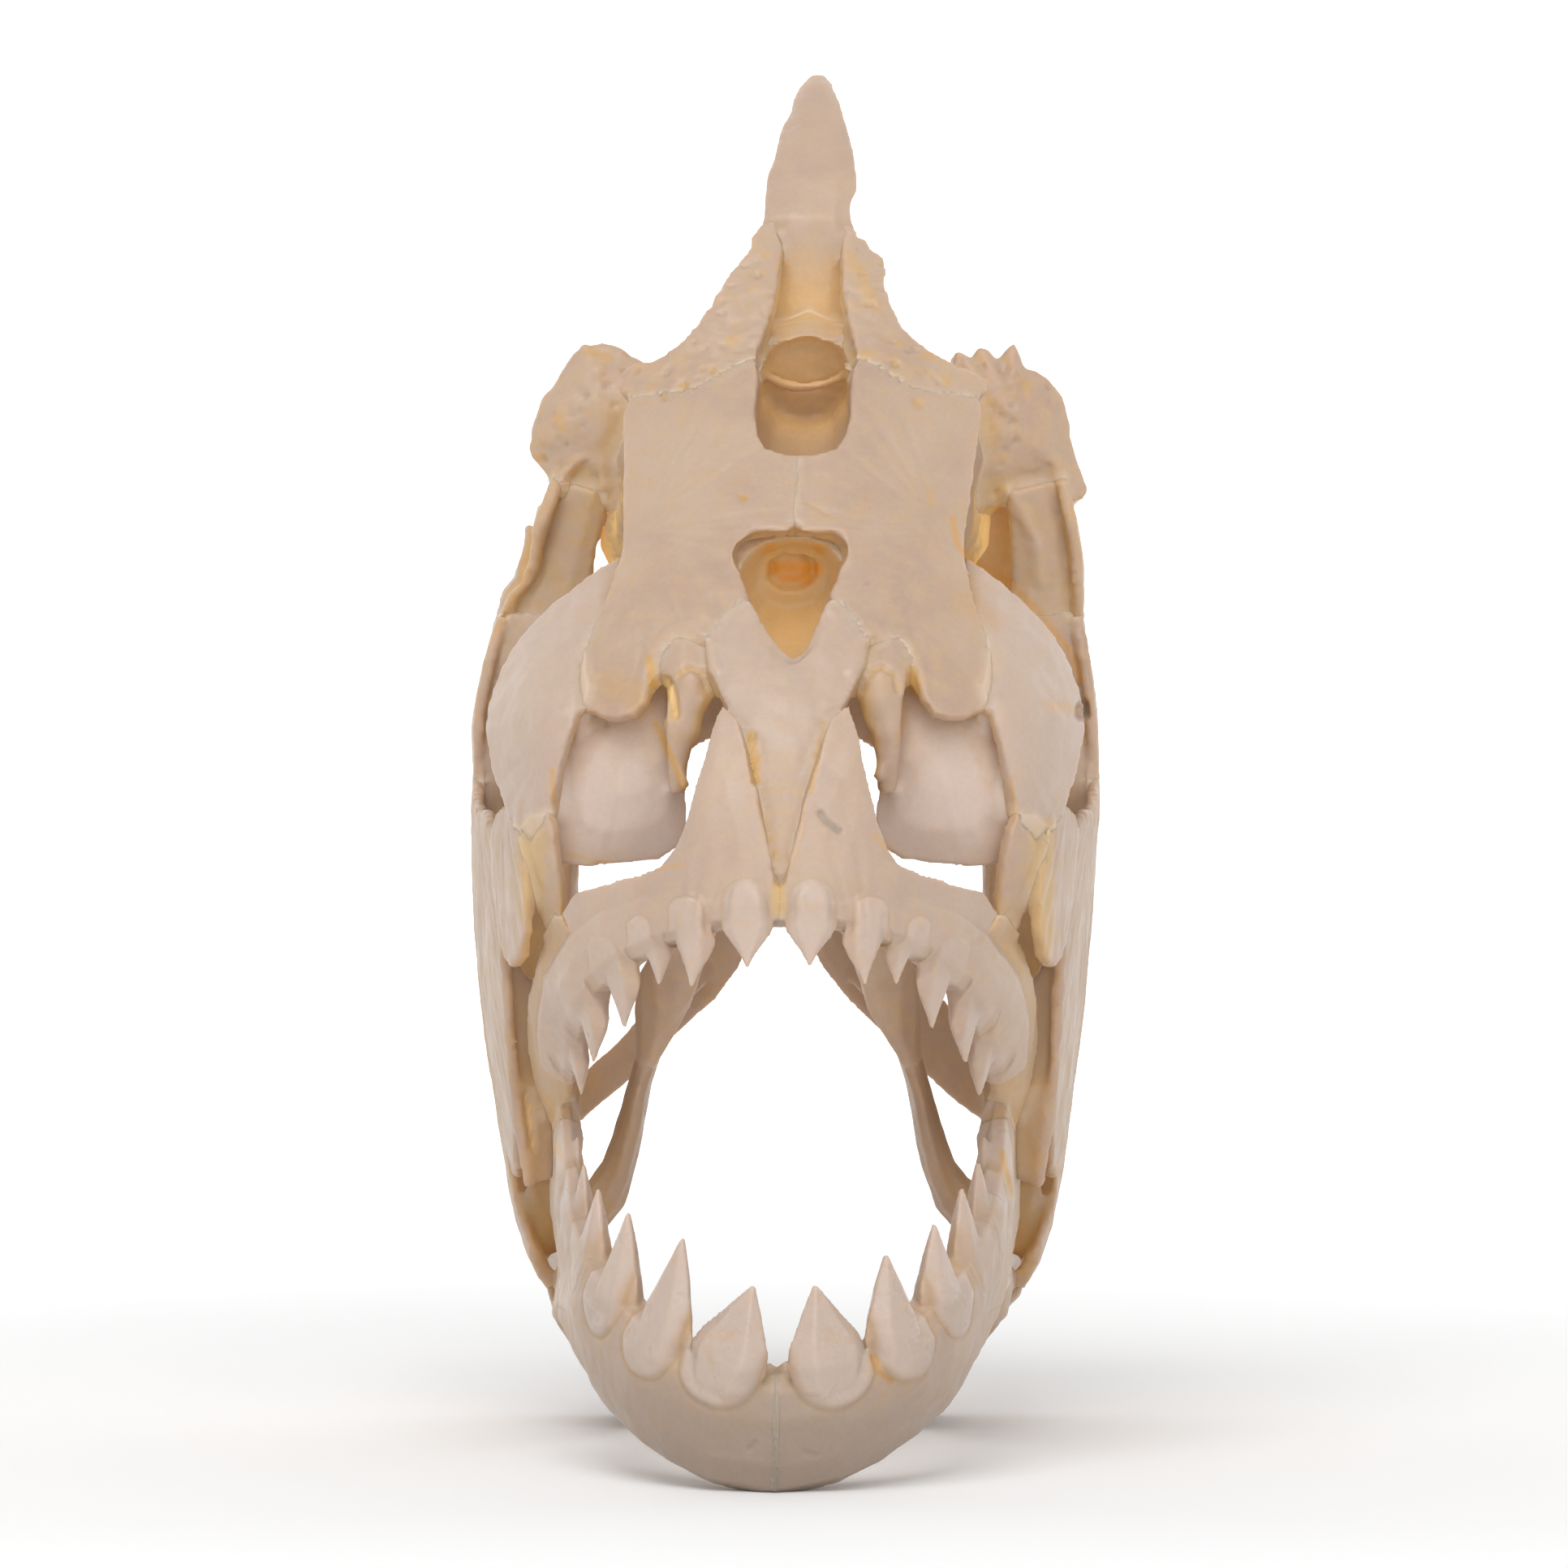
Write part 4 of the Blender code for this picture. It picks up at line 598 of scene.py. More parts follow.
MARKS = (
    # Painted shade in the yellow hollows at the sides, and the ridges of the orbits' struts, one paler
    # with painted light.
    mark(24, 655, 1025, 655, 1060, 655, 1120, recess=0.6, grey=0.22),
    mark(26, 1283, 1025, 1283, 1080, 1283, 1170, recess=0.6, grey=0.22),
    mark(14, 690, 612, 668, 650, 645, 700, lift=0.22, stain=0.15),
    mark(14, 1242, 606, 1278, 663, 1283, 715, lift=0.25, pale=0.3),
    # Painted shade on the front edges of the cheek and gill cover plates, and on the sides of the lower
    # jaw.
    mark(34, 596, 1010, 598, 1150, 606, 1290, 618, 1400, grey=0.24, recess=0.2),
    mark(34, 1336, 1010, 1334, 1150, 1326, 1290, 1310, 1400, grey=0.24, recess=0.2),
    mark(34, 700, 1480, 716, 1580, 770, 1680, grey=0.24),
    mark(34, 1226, 1480, 1206, 1580, 1150, 1680, grey=0.24),
    # Foramina and cracks of the roof, partly stain and partly painted shade.
    mark(7, 843, 476, lift=-0.25, stain=0.7),
    mark(6, 818, 490, lift=-0.20, stain=0.6),
    mark(6, 877, 456, lift=-0.20, stain=0.6),
    mark(6, 915, 612, 917, 615, lift=-0.20, stain=0.9),
    mark(8, 1128, 495, 1132, 500, lift=-0.12, stain=0.5),
    mark(7, 1104, 449, lift=-0.12, stain=0.5),
    mark(3, 992, 618, 1006, 626, 1020, 634, lift=-0.10, stain=0.5),
    mark(4, 1000, 636, 1030, 640, stain=0.3),
    mark(8, 1145, 605, 1148, 620, stain=0.35),
    mark(5, 800, 592, 801, 602, stain=0.3),
    # Slots and lines beside the mesethmoid, and pits, yellow and grey with stain and painted shade.
    mark(9, 925, 905, 929, 930, 931, 962, lift=-0.18, stain=1.0),
    mark(5, 1014, 890, 1008, 930, 999, 975, lift=-0.08, stain=0.55),
    mark(3, 934, 985, 945, 1025, 959, 1076, lift=-0.08, stain=0.45),
    mark(3, 991, 985, 988, 1025, 971, 1078, lift=0.05, stain=0.30),
    mark(12, 959, 1092, 960, 1122, recess=0.55, stain=0.25),
    mark(6, 1011, 1001, 1018, 1012, 1034, 1023, lift=-0.18, grey=0.55),
    mark(4, 1069, 719, lift=-0.12, grey=0.6),
    mark(4, 745, 888, 748, 893, lift=-0.12, grey=0.5, stain=0.4),
    mark(11, 1335, 870, 1335, 880, lift=-0.45, grey=0.85),
    # Hollows and edges round the nasal bones, with painted shade in the hollows and stain and painted
    # shade along the edges.
    mark(7, 800, 812, 804, 845, lift=-0.12, stain=0.95),
    mark(8, 1123, 826, 1126, 852, lift=-0.10, stain=0.75),
    mark(8, 822, 838, 829, 858, 832, 880, lift=-0.45, recess=0.9, grey=0.15),
    mark(5, 836, 832, 850, 822, 866, 830, 870, 846, lift=-0.30, recess=0.6),
    mark(5, 1062, 850, 1066, 832, 1084, 822, 1102, 832, 1106, 850, lift=-0.25, recess=0.45),
    mark(9, 793, 866, 791, 838, 803, 806, 826, 778, 852, 772, 874, 792, 880, 824, lift=0.16),
    mark(9, 1140, 860, 1134, 820, 1112, 784, 1080, 774, 1054, 796, 1048, 826, lift=0.14),
    mark(14, 878, 742, 884, 752, lift=-0.10, grey=0.10),
    mark(6, 808, 892, 826, 930, 843, 972, stain=0.85),
    mark(5, 1116, 885, 1108, 905, 1104, 912, stain=0.40),
    mark(4, 1066, 908, 1080, 914, stain=0.5),
    # Yellow flanges and plate edges, partly stain and partly painted shade under the flanges, and the
    # orbit's rim darkened with painted shade.
    mark(26, 752, 846, 775, 852, 790, 868, stain=0.30),
    mark(26, 1185, 742, 1215, 762, stain=0.22),
    mark(9, 1290, 868, 1325, 874, stain=0.35),
    mark(6, 652, 704, 632, 738, 612, 780, stain=0.55),
    mark(6, 1174, 640, 1180, 672, 1200, 692, 1240, 714, 1282, 756, 1318, 802, 1332, 838, deep=0.30,
         stain=0.4),
    mark(5, 704, 1052, 740, 1063, 790, 1071, 840, 1066, stain=0.40),
    mark(6, 1078, 1030, 1104, 1056, 1136, 1070, stain=0.45),
    mark(4, 680, 948, 682, 986, lift=-0.05, stain=0.65),
    mark(4, 1246, 960, 1250, 1006, lift=-0.05, stain=0.55),
    # The hollow under the roof, painted deep orange and yellow for its shade and the light through its
    # thin bone.
    mark(13, 955, 700, 1005, 700, deep=1.0),
    mark(12, 966, 712, 994, 712, deep=1.0),
    mark(46, 974, 690, 974, 770, stain=0.4),
    mark(7, 947, 674, 948, 675, deep=0.55, stain=1.0),
    mark(7, 1008, 675, 1009, 676, deep=0.55, stain=1.0),
    mark(16, 944, 678, 1012, 678, stain=0.6),
    # The crest and the wings behind it: yellow stains, painted shade in hollows and painted light along
    # the ridges.
    mark(10, 1048, 316, 1064, 350, 1081, 380, lift=0.06, stain=0.35),
    mark(7, 1060, 330, 1066, 342, stain=0.5),
    mark(18, 994, 312, 994, 324, recess=0.35),
    mark(10, 997, 335, 997, 405, pale=0.35),
    mark(26, 952, 440, 990, 452, 1032, 440, recess=0.45),
    mark(5, 939, 462, 962, 475, 990, 480, 1016, 475, 1042, 462, pale=0.7),
    mark(9, 735, 436, 748, 440, stain=0.55),
    mark(9, 686, 515, 694, 528, stain=0.35),
    # Lower jaw: grooves and pits darkened with stain and painted shade, and ridges paler with painted
    # light.
    mark(5, 1076, 1672, 1083, 1690, 1098, 1701, lift=-0.12, deep=0.35, stain=1.0),
    mark(12, 1078, 1680, 1082, 1690, stain=0.35),
    mark(6, 648, 1350, 652, 1380, 656, 1412, lift=-0.30, recess=0.9, grey=0.25),
    mark(5, 1236, 1420, 1240, 1445, 1246, 1474, lift=-0.15, stain=0.85),
    mark(8, 686, 1412, 690, 1425, stain=0.5),
    mark(5, 752, 1480, 754, 1540, stain=0.30),
    mark(6, 1172, 1520, 1178, 1570, stain=0.25),
    mark(9, 956, 1724, 955, 1770, 953, 1828, lift=0.10, pale=0.15),
    mark(5, 930, 1778, 922, 1786, lift=-0.10, grey=0.45),
    mark(5, 992, 1790, 1006, 1794, lift=-0.08, grey=0.35),
    mark(4, 874, 1784, 880, 1787, stain=0.6),
    mark(4, 826, 1786, 830, 1788, stain=0.35),
    mark(10, 1152, 1650, 1138, 1690, 1100, 1728, 1050, 1752, lift=0.10),
)
TONES = ("recess", "pale", "stain", "deep", "grey")
# The ways a surface faces between which marks come in, and the shares of its half width between
# which a mark fades.
MARK_FACING, MARK_FADE = (-0.1, 0.25), (0.15, 1.15)
# How much a mark's width varies along it, and the size and seed of that.
WOBBLE, WOBBLES = 0.22, (0.8, 95)


def marked(places, normals):
    """How far the marks lift each point, and how strongly each tone, mostly painted shade and light,
    lies on it.
    """
    spots = seen(places)
    facing = ramp(-normals[:, 1], *MARK_FACING)
    wobble = 1 + WOBBLE * lumps(places, *WOBBLES)
    lift = np.zeros(len(places))
    tones = {tone: np.zeros(len(places)) for tone in TONES}
    for line, width, height, given in MARKS:
        box = ((spots > line.min(0) - width) & (spots < line.max(0) + width)).all(1)
        if not box.any():
            continue
        near = spots[box]
        gap = np.full(len(near), np.inf)
        for a, b in zip(line[:-1], line[1:]) if len(line) > 1 else ((line[0], line[0]),):
            way = b - a
            u = np.clip((near - a) @ way / max(way @ way, TINY), 0, 1)
            gap = np.minimum(gap, np.linalg.norm(near - a - u[:, None] * way, axis=1))
        inner, outer = (share * width for share in MARK_FADE)
        share = (1 - ramp(gap * wobble[box], inner, outer)) * facing[box]
        lift[box] += height * share
        for tone, strength in given.items():
            tones[tone][box] = np.maximum(tones[tone][box], strength * share)
    return lift, tones


# Outline

# Small corrections of the outline, by the photograph's pixels: where, how far round, and the shift,
# which is whole in the inner share of that.
WARP_WHOLE = 0.25
WARPS = (
    (975, 105, 45, -6, 1), (950, 165, 45, -7, 0), (688, 513, 50, -10, -3), (945, 225, 45, -9, 0),
    (943, 275, 40, -7, 0), (1052, 262, 30, -8, 0), (890, 337, 40, -8, -3), (880, 375, 40, -8, -4),
    (862, 403, 40, -7, -5), (830, 425, 35, -3, -5), (742, 418, 30, 0, 6), (1075, 296, 30, -6, 3),
    (648, 668, 24, 6, 0), (640, 700, 40, 10, 0), (580, 1000, 130, 8, 0), (582, 1110, 130, 9, 0),
    (590, 1230, 140, 9, 0), (600, 1310, 140, 11, 0), (607, 1390, 140, 13, 0), (625, 1480, 120, 14, 0),
    (650, 1562, 80, 15, 0),
)
# The roof's front opening in the photograph, its middle, and the bones round it.
OPENING = ((912, 672), (940, 663), (972, 661), (1004, 663), (1031, 672), (1034, 700), (1022, 734),
           (1006, 770), (992, 798), (978, 810), (962, 798), (941, 770), (922, 734), (911, 700))
OPENING_MIDDLE = (972, 720)
OPENING_NODES = ("frontal_left", "frontal_right", "mesethmoid")
# The directions that its rim is looked for in, the points of its outline, and where the rim is taken
# to be in a direction without bone.
OPENING_TURNS, OPENING_POINTS, RIM_UNSEEN = 72, 240, 90.0
# How far from the rim its shift is whole, where it ends, and how often it is repeated.
RIM_WHOLE, RIM_REACH, RIM_ROUNDS = 3, 26, 2


def warped(places):
    """Places moved by the small corrections that lie near them."""
    spots = seen(places)
    total = np.zeros((len(places), 2))
    weights = np.zeros(len(places))
    for x, y, reach, dx, dy in WARPS:
        share = 1 - ramp(np.linalg.norm(spots - (x, y), axis=1), WARP_WHOLE * reach, reach)
        total += share[:, None] * (dx, dy)
        weights += share
    return shifted(places, total / np.maximum(weights, 1)[:, None])


def round_opening(meshes):
    """Draws the rim of the roof's front opening to the outline that the photograph shows."""

    def polar(spots):
        offset = spots - OPENING_MIDDLE
        return offset, np.arctan2(offset[:, 1], offset[:, 0]), np.linalg.norm(offset, axis=1)

    _, wanted_turn, wanted = polar(curve_through(OPENING, OPENING_POINTS, closed=True))
    middles = (np.arange(OPENING_TURNS) + 0.5) / OPENING_TURNS * 2 * math.pi - math.pi
    rim = np.full(OPENING_TURNS, RIM_UNSEEN)
    for node in OPENING_NODES:
        _, turn, reach = polar(seen(read_mesh(meshes[node])))
        sector = ((turn + math.pi) / (2 * math.pi) * OPENING_TURNS).astype(int) % OPENING_TURNS
        np.minimum.at(rim, sector, reach)
    for node in OPENING_NODES:
        places = read_mesh(meshes[node])
        offset, turn, reach = polar(seen(places))
        now = np.interp(turn, middles, rim, period=2 * math.pi)
        aim = np.interp(turn, wanted_turn, wanted, period=2 * math.pi)
        share = (aim - now) * (1 - ramp(reach - now, RIM_WHOLE, RIM_REACH))
        write_places(meshes[node], shifted(places, unit(offset) * share[:, None]))


# The bones' meshes

# How free points are to move as a mesh is evened out: at a seam, how much more away from one, and
# how much less on a tooth, between two heights on it.
SEAM_FREEDOM, OPEN_FREEDOM, TOOTH_HOLD, HELD_FROM = 0.12, 0.88, 0.7, (0.3, 0.8)
# Rounds of smoothing before and after the edges are drawn together.
ROUNDS_BEFORE, ROUNDS_AFTER = 6, 2
# How much of the relief there is where no point is free, and how much more where all are.
HELD_RELIEF, FREE_RELIEF = 0.35, 0.65


def drawn_together(mesh, node, trees):
    """Evens out a bone's mesh, draws its edges to its neighbours and corrects its outline.

    It gives how far each point was from another bone, and how free it is to move.
    """
    closest, pull = seam_pull(mesh, node, trees)
    freedom = SEAM_FREEDOM + OPEN_FREEDOM * ramp(closest, SEAM_EDGE, SEAM_REACH)
    if plain_name(node) in JAWS:
        up = tooth_field(node, read_mesh(mesh), read_mesh(mesh, "normal"))[1]
        freedom *= 1 - TOOTH_HOLD * ramp(up, *HELD_FROM)
    smoothed(mesh, ROUNDS_BEFORE, freedom)
    share = SEAM_SHARE * (1 - ramp(closest, SEAM_FULL, SEAM_EDGE))
    write_places(mesh, warped(read_mesh(mesh) + pull * share[:, None]))
    smoothed(mesh, ROUNDS_AFTER, freedom)
    # Painted light that pales the shaded crease along each seam.
    store(mesh, "seam", SEAM_PAINTED_LIGHT * (1 - ramp(closest, SEAM_CORE, SEAM_EDGE)))
    return closest, freedom


def give_relief(mesh, node, closest, freedom):
    """Moves a bone's points out and in by its relief, its marks and its teeth."""
    places, normals = read_mesh(mesh), read_mesh(mesh, "normal")
    lift = detail(node, places) * (HELD_RELIEF + FREE_RELIEF * freedom) + marked(places, normals)[0]
    lift += SEAM_SWELL * (1 - ramp(closest, SWELL_CORE, SEAM_EDGE))
    if plain_name(node) in JAWS:
        places, lift = toothed(node, places, normals, lift)
    places += normals * lift[:, None]
    places[:, 2] = np.maximum(places[:, 2], 0.0)
    write_places(mesh, places)


def dressed_meshes():
    """The mesh of each bone, with its final places, in millimetres."""
    trees = cad_trees()
    meshes = {}
    for node in sorted(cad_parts):
        meshes[node] = remeshed(node)
        closest, freedom = drawn_together(meshes[node], node, trees)
        give_relief(meshes[node], node, closest, freedom)
    for _ in range(RIM_ROUNDS):
        round_opening(meshes)
    return meshes


# Hollows, tinted with painted shade

# The cells that bone is counted in, the open space round the skull, how far and how often the count
# is spread, and what keeps a place inside the grid.
GRID, MARGIN, SPREAD, SPREAD_ROUNDS, LAST_CELL = 0.7, 12, 3, 3, 1.001
# How far in front of a point the bone round it is counted.
PROBE = 2.6
# The share of bone where a hollow begins and where it is full.
HOLLOW_FROM = (0.10, 0.36)
# Depth of the skull's front at each height, and how far behind it painted shade turns bone tan.
FRONT_DEPTH = ((0, 2), (30, 8), (40, 7.2), (49, 12.3), (60, 22.2), (72, 33.4), (84, 44.8), (95, 55.4))
BEHIND_FRONT = (6.0, 24.0)
# How tan with painted shade a full hollow is, and bone far back: its share of that in the open, and
# more in a hollow.
HOLLOW_SHADE, BACK_SHADE, BACK_OPEN, BACK_HOLLOW = 0.55, 0.35, 0.3, 0.7


def spread(grid):
    """A running mean over a grid, along each axis in turn."""
    for _ in range(SPREAD_ROUNDS):
        for axis in range(3):
            edges = [(SPREAD + 1, SPREAD) if k == axis else (0, 0) for k in range(3)]
            total = np.cumsum(np.pad(grid, edges), axis=axis)
            high = np.take(total, range(2 * SPREAD + 1, total.shape[axis]), axis=axis)
            low = np.take(total, range(0, total.shape[axis] - 2 * SPREAD - 1), axis=axis)
            grid = (high - low) / (2 * SPREAD + 1)
    return grid


def enclosure(meshes):
    """A function that says how much bone lies close round places, from 0 in the open."""
    every = np.vstack([read_mesh(mesh) for mesh in meshes.values()])
    low = every.min(0) - MARGIN
    size = np.ceil((every.max(0) + MARGIN - low) / GRID).astype(int)
    filled = np.zeros(size)
    filled[tuple(((every - low) / GRID).astype(int).T)] = 1.0
    field = spread(filled)

    def at(places):
        inside = np.clip((places - low) / GRID, 0, size - LAST_CELL)
        return field[tuple(inside.astype(int).T)]

    return at


def painted_recess_shade(places, normals, enclosed):
    """How much painted shade and light through thin bone tans each point, by how deep in a hollow and
    how far back it lies, from 0 to 1.
    """
    table = to_table(places)
    hollow = ramp(enclosed(places + normals * PROBE), *HOLLOW_FROM)
    behind = ramp(table[:, 1] - along(FRONT_DEPTH, table[:, 2]), *BEHIND_FRONT)
    return np.clip(HOLLOW_SHADE * hollow + BACK_SHADE * behind * (BACK_OPEN + BACK_HOLLOW * hollow), 0, 1)


# Colour

IVORY = (0.53, 0.390, 0.287)
ROSE = (0.48, 0.342, 0.255)
CREAM = (0.525, 0.375, 0.245)
# The bone's own paler tone, also painted light on plates in shade.
PALE_AND_LIT = (0.565, 0.45, 0.38)
# Tan of painted shade and light through thin bone in hollows, and of each bone's own warmth; the deeper
# tan only painted.
TAN_AND_SHADE = (0.62, 0.41, 0.19)
DEEP_SHADE_TAN = (0.88, 0.58, 0.22)
# Tones laid over the bone, each as strong as its attribute, the last on top: painted light on seams,
# enamel, stains and painted shade, painted deep shade and painted grey shade.
OVERLAYS = {"seam": (0.70, 0.55, 0.42), "enamel": (0.57, 0.455, 0.38), "stain": (0.60, 0.35, 0.10),
            "deep": (0.66, 0.29, 0.04), "grey": (0.33, 0.26, 0.21)}
# How strong the painted glow is, an emission that stands in for light coming through thin bone.
PAINTED_THROUGH_GLOW = 0.36
# How pale each bone is, by its own paler tone and, on the lateral ethmoid's shaded plates, by painted
# light, and how strongly it is flecked with yellow.
PALENESS_AND_LIGHT = {"antorbital": 0.5, "lateral_ethmoid": 1.0, "premaxilla": 0.3, "mesethmoid": 0.35,
            "maxilla": 0.1, "dentary": 0.15, "supraoccipital": 0.1}
FLECKS = {"parietal": 0.45, "sphenotic": 0.45, "hyomandibula": 0.4, "infraorbital_5": 0.3,
          "maxilla": 0.25, "premaxilla": 0.12, "frontal": 0.12, "dentary": 0.15,
          "lateral_ethmoid": 0.08}
# How tan each bone is all over, and what share of the painted shade of its hollows it takes.
WARMTH = {"opercle": 0.13, "preopercle": 0.13, "subopercle": 0.10, "hyomandibula": 0.2,
          "pterygoid": 0.12, "metapterygoid": 0.1, "quadrate": 0.12, "infraorbital_5": 0.15,
          "maxilla": 0.15, "parietal": 0.10, "sphenotic": 0.10, "infraorbital_3": 0.06, "dentary": 0.10}
RECESS_SHADE_SHARE = {"infraorbital_3": 0.35, "maxilla": 0.5, "lateral_ethmoid": 0.3, "dentary": 0.4,
                "premaxilla": 0.5, "metapterygoid": 0.22, "hyomandibula": 0.4, "quadrate": 0.3,
                "preopercle": 0.45, "pterygoid": 0.3, "opercle": 0.6, "infraorbital_5": 0.6,
                "infraorbital_4": 0.6, "interopercle": 0.5, "subopercle": 0.6}
# How strong each bone's painted glow is, for light through it and to lift bone in shade: everywhere,
# and in its hollows.
PAINTED_GLOW_ALL = {"lateral_ethmoid": 0.30, "pterygoid": 0.50, "quadrate": 0.22, "metapterygoid": 0.45,
            "hyomandibula": 0.2, "parasphenoid": 0.35}
PAINTED_GLOW_HOLLOW = {"braincase": 1.0, "orbitosphenoid": 1.0, "supraoccipital": 0.45, "parasphenoid": 0.6}
PAINTED_GLOW_ELSEWHERE = 0.3
# How much painted shade darkens each bone towards the floor, and the heights between which it does.
PAINTED_DUSK = {"dentary": 0.80, "articular": 0.5, "interopercle": 0.35, "preopercle": 0.3}
PAINTED_DUSK_HEIGHTS = (1.0, 12.0)
# Size and seed of the yellow flecks and of the specks on them, the specks' share, and where both show.
FLECK_LUMPS, SPECK_LUMPS, SPECK_SHARE, FLECK_FROM = (1.1, 141), (0.45, 143), 0.5, (0.45, 0.95)
# How hollow bone is where its painted glow begins, and where it is strongest.
PAINTED_GLOW_FROM = (0.2, 0.9)
# Where enamel ends at the base, how much is on a tooth's sides, how far up, and the painted shade of
# the line round it.
ENAMEL_EDGE, ENAMEL_SIDES, ENAMEL_UP, LINE_SHADE = (0.80, 1.04), 0.8, (0.1, 0.45), 0.30


def paint(mesh, node, enclosed):
    """Stores for the material each point's tan and painted shade of hollows, paleness and painted
    light, stains and painted shade, painted deep and grey shade, enamel and painted glow.
    """
    plain = plain_name(node)
    places, normals = read_mesh(mesh), read_mesh(mesh, "normal")
    # Painted shade and light through thin bone: hollows and bone far back turn tan.
    recess = painted_recess_shade(places, normals, enclosed)
    pale = PALENESS_AND_LIGHT.get(plain, 0.0) * (1 - recess)
    flecks = lumps(places, *FLECK_LUMPS) + SPECK_SHARE * lumps(places, *SPECK_LUMPS)
    stain = FLECKS.get(plain, 0.0) * ramp(flecks, *FLECK_FROM)
    recess = np.clip(WARMTH.get(plain, 0.0) + recess * RECESS_SHADE_SHARE.get(plain, 1.0), 0, 1)
    # Painted shade: bone darkens towards the floor.
    painted_dusk = PAINTED_DUSK.get(plain, 0.0) * (1 - ramp(places[:, 2], *PAINTED_DUSK_HEIGHTS))
    # Painted glow, an emission that stands in for light through the bone in its hollows.
    painted_hollow_glow = PAINTED_GLOW_HOLLOW.get(plain, PAINTED_GLOW_ELSEWHERE) * ramp(recess, *PAINTED_GLOW_FROM)
    _, tones = marked(places, normals)
    enamel = line = np.zeros(len(places))
    if plain in JAWS:
        edge, up, front, _ = tooth_field(node, places, normals)
        enamel = (1 - ramp(edge, *ENAMEL_EDGE)) * np.maximum(front, ENAMEL_SIDES * ramp(up, *ENAMEL_UP))
        # Painted shade: a darker line round each tooth's base.
        line = base_line(LINE_SHADE, edge, up, front, LINE_WIDTH)
        painted_dusk *= 1 - enamel
    values = {"recess": recess, "pale": pale, "stain": np.maximum(stain, line), "deep": 0.0,
              "grey": painted_dusk, "enamel": enamel, "glow": PAINTED_GLOW_ALL.get(plain, 0.0) + painted_hollow_glow}
    for name, value in values.items():
        store(mesh, name, np.maximum(value, tones.get(name, 0.0)))


# Materials

# Where a mix node has its share, its two colours and its result.
MIX_SHARE, MIX_A, MIX_B, MIX_RESULT = 0, 6, 7, 2
# Sizes of the noise that varies the bone and of its pores and grain, and the depth of these two.
BROAD, MEDIUM, FINE, PORES, GRAIN, BUMP_DEPTH = 7.0, 1.6, 0.35, 0.55, 0.22, 0.05
# How much smoother enamel is, and how strong the painted glow on seams is.
ENAMEL_SMOOTHER, SEAM_PAINTED_GLOW = 0.12, 0.12
# How much light goes into the bone, how far, and each colour's share of that.
INSIDE, INSIDE_REACH, INSIDE_SHARES = 0.45, 1.2, (1.0, 0.55, 0.32)


class Nodes:
    """A short way to write a material's nodes."""

    def __init__(self, name):
        self.made = bpy.data.materials.new(name)
        self.made.use_nodes = True
        self.tree = self.made.node_tree
        self.shader = self.tree.nodes["Principled BSDF"]
        place = self.add("TexCoord", {}).outputs["Object"]
        scaled = self.add("VectorMath", {0: place, 1: (1 / MM,) * 3})
        scaled.operation = "MULTIPLY"
        self.place = scaled.outputs["Vector"]

    def put(self, node, socket, value):
        if isinstance(value, bpy.types.NodeSocket):
            self.tree.links.new(value, node.inputs[socket])
        elif isinstance(value, tuple) and len(value) == 3 and node.inputs[socket].type == "RGBA":
            node.inputs[socket].default_value = (*value, 1.0)
        else:
            node.inputs[socket].default_value = value

    def add(self, kind, inputs):
        """Adds a node, with a value or a link for each of the given sockets."""
        node = self.tree.nodes.new("ShaderNode" + kind)
        for socket, value in inputs.items():
            self.put(node, socket, value)
        return node

    def math(self, operation, a, b, clamp=False):
        node = self.add("Math", {0: a, 1: b})
        node.operation = operation
        node.use_clamp = clamp
        return node.outputs[0]

    def noise(self, size, detail=2.0):
        """Noise with lumps about size millimetres across."""
        inputs = {"Vector": self.place, "Scale": 1 / size, "Detail": detail}
        return self.add("TexNoise", inputs).outputs["Fac"]

    def spots(self, size):
        return self.add("TexVoronoi", {"Vector": self.place, "Scale": 1 / size}).outputs["Distance"]

    def value_of(self, attribute):
        node = self.add("Attribute", {})
        node.attribute_name = attribute
        return node.outputs["Fac"]

    def span(self, value, low, high, to_low=0.0, to_high=1.0):
        """A smooth step like ramp, between any two values."""
        node = self.add("MapRange", {"Value": value, "From Min": low, "From Max": high,
                                     "To Min": to_low, "To Max": to_high})
        node.interpolation_type = "SMOOTHSTEP"
        return node.outputs["Result"]

    def mix(self, share, a, b, blend="MIX"):
        node = self.tree.nodes.new("ShaderNodeMix")
        node.data_type = "RGBA"
        node.blend_type = blend
        self.put(node, MIX_SHARE, share)
        self.put(node, MIX_A, a)
        self.put(node, MIX_B, b)
        return node.outputs[MIX_RESULT]

    def bump(self, height, strength, distance, **normal):
        inputs = {"Height": height, "Strength": strength, "Distance": distance * MM, **normal}
        return self.add("Bump", inputs).outputs["Normal"]

    def shade(self, **sockets):
        for name, value in sockets.items():
            self.put(self.shader, name.replace("_", " "), value)


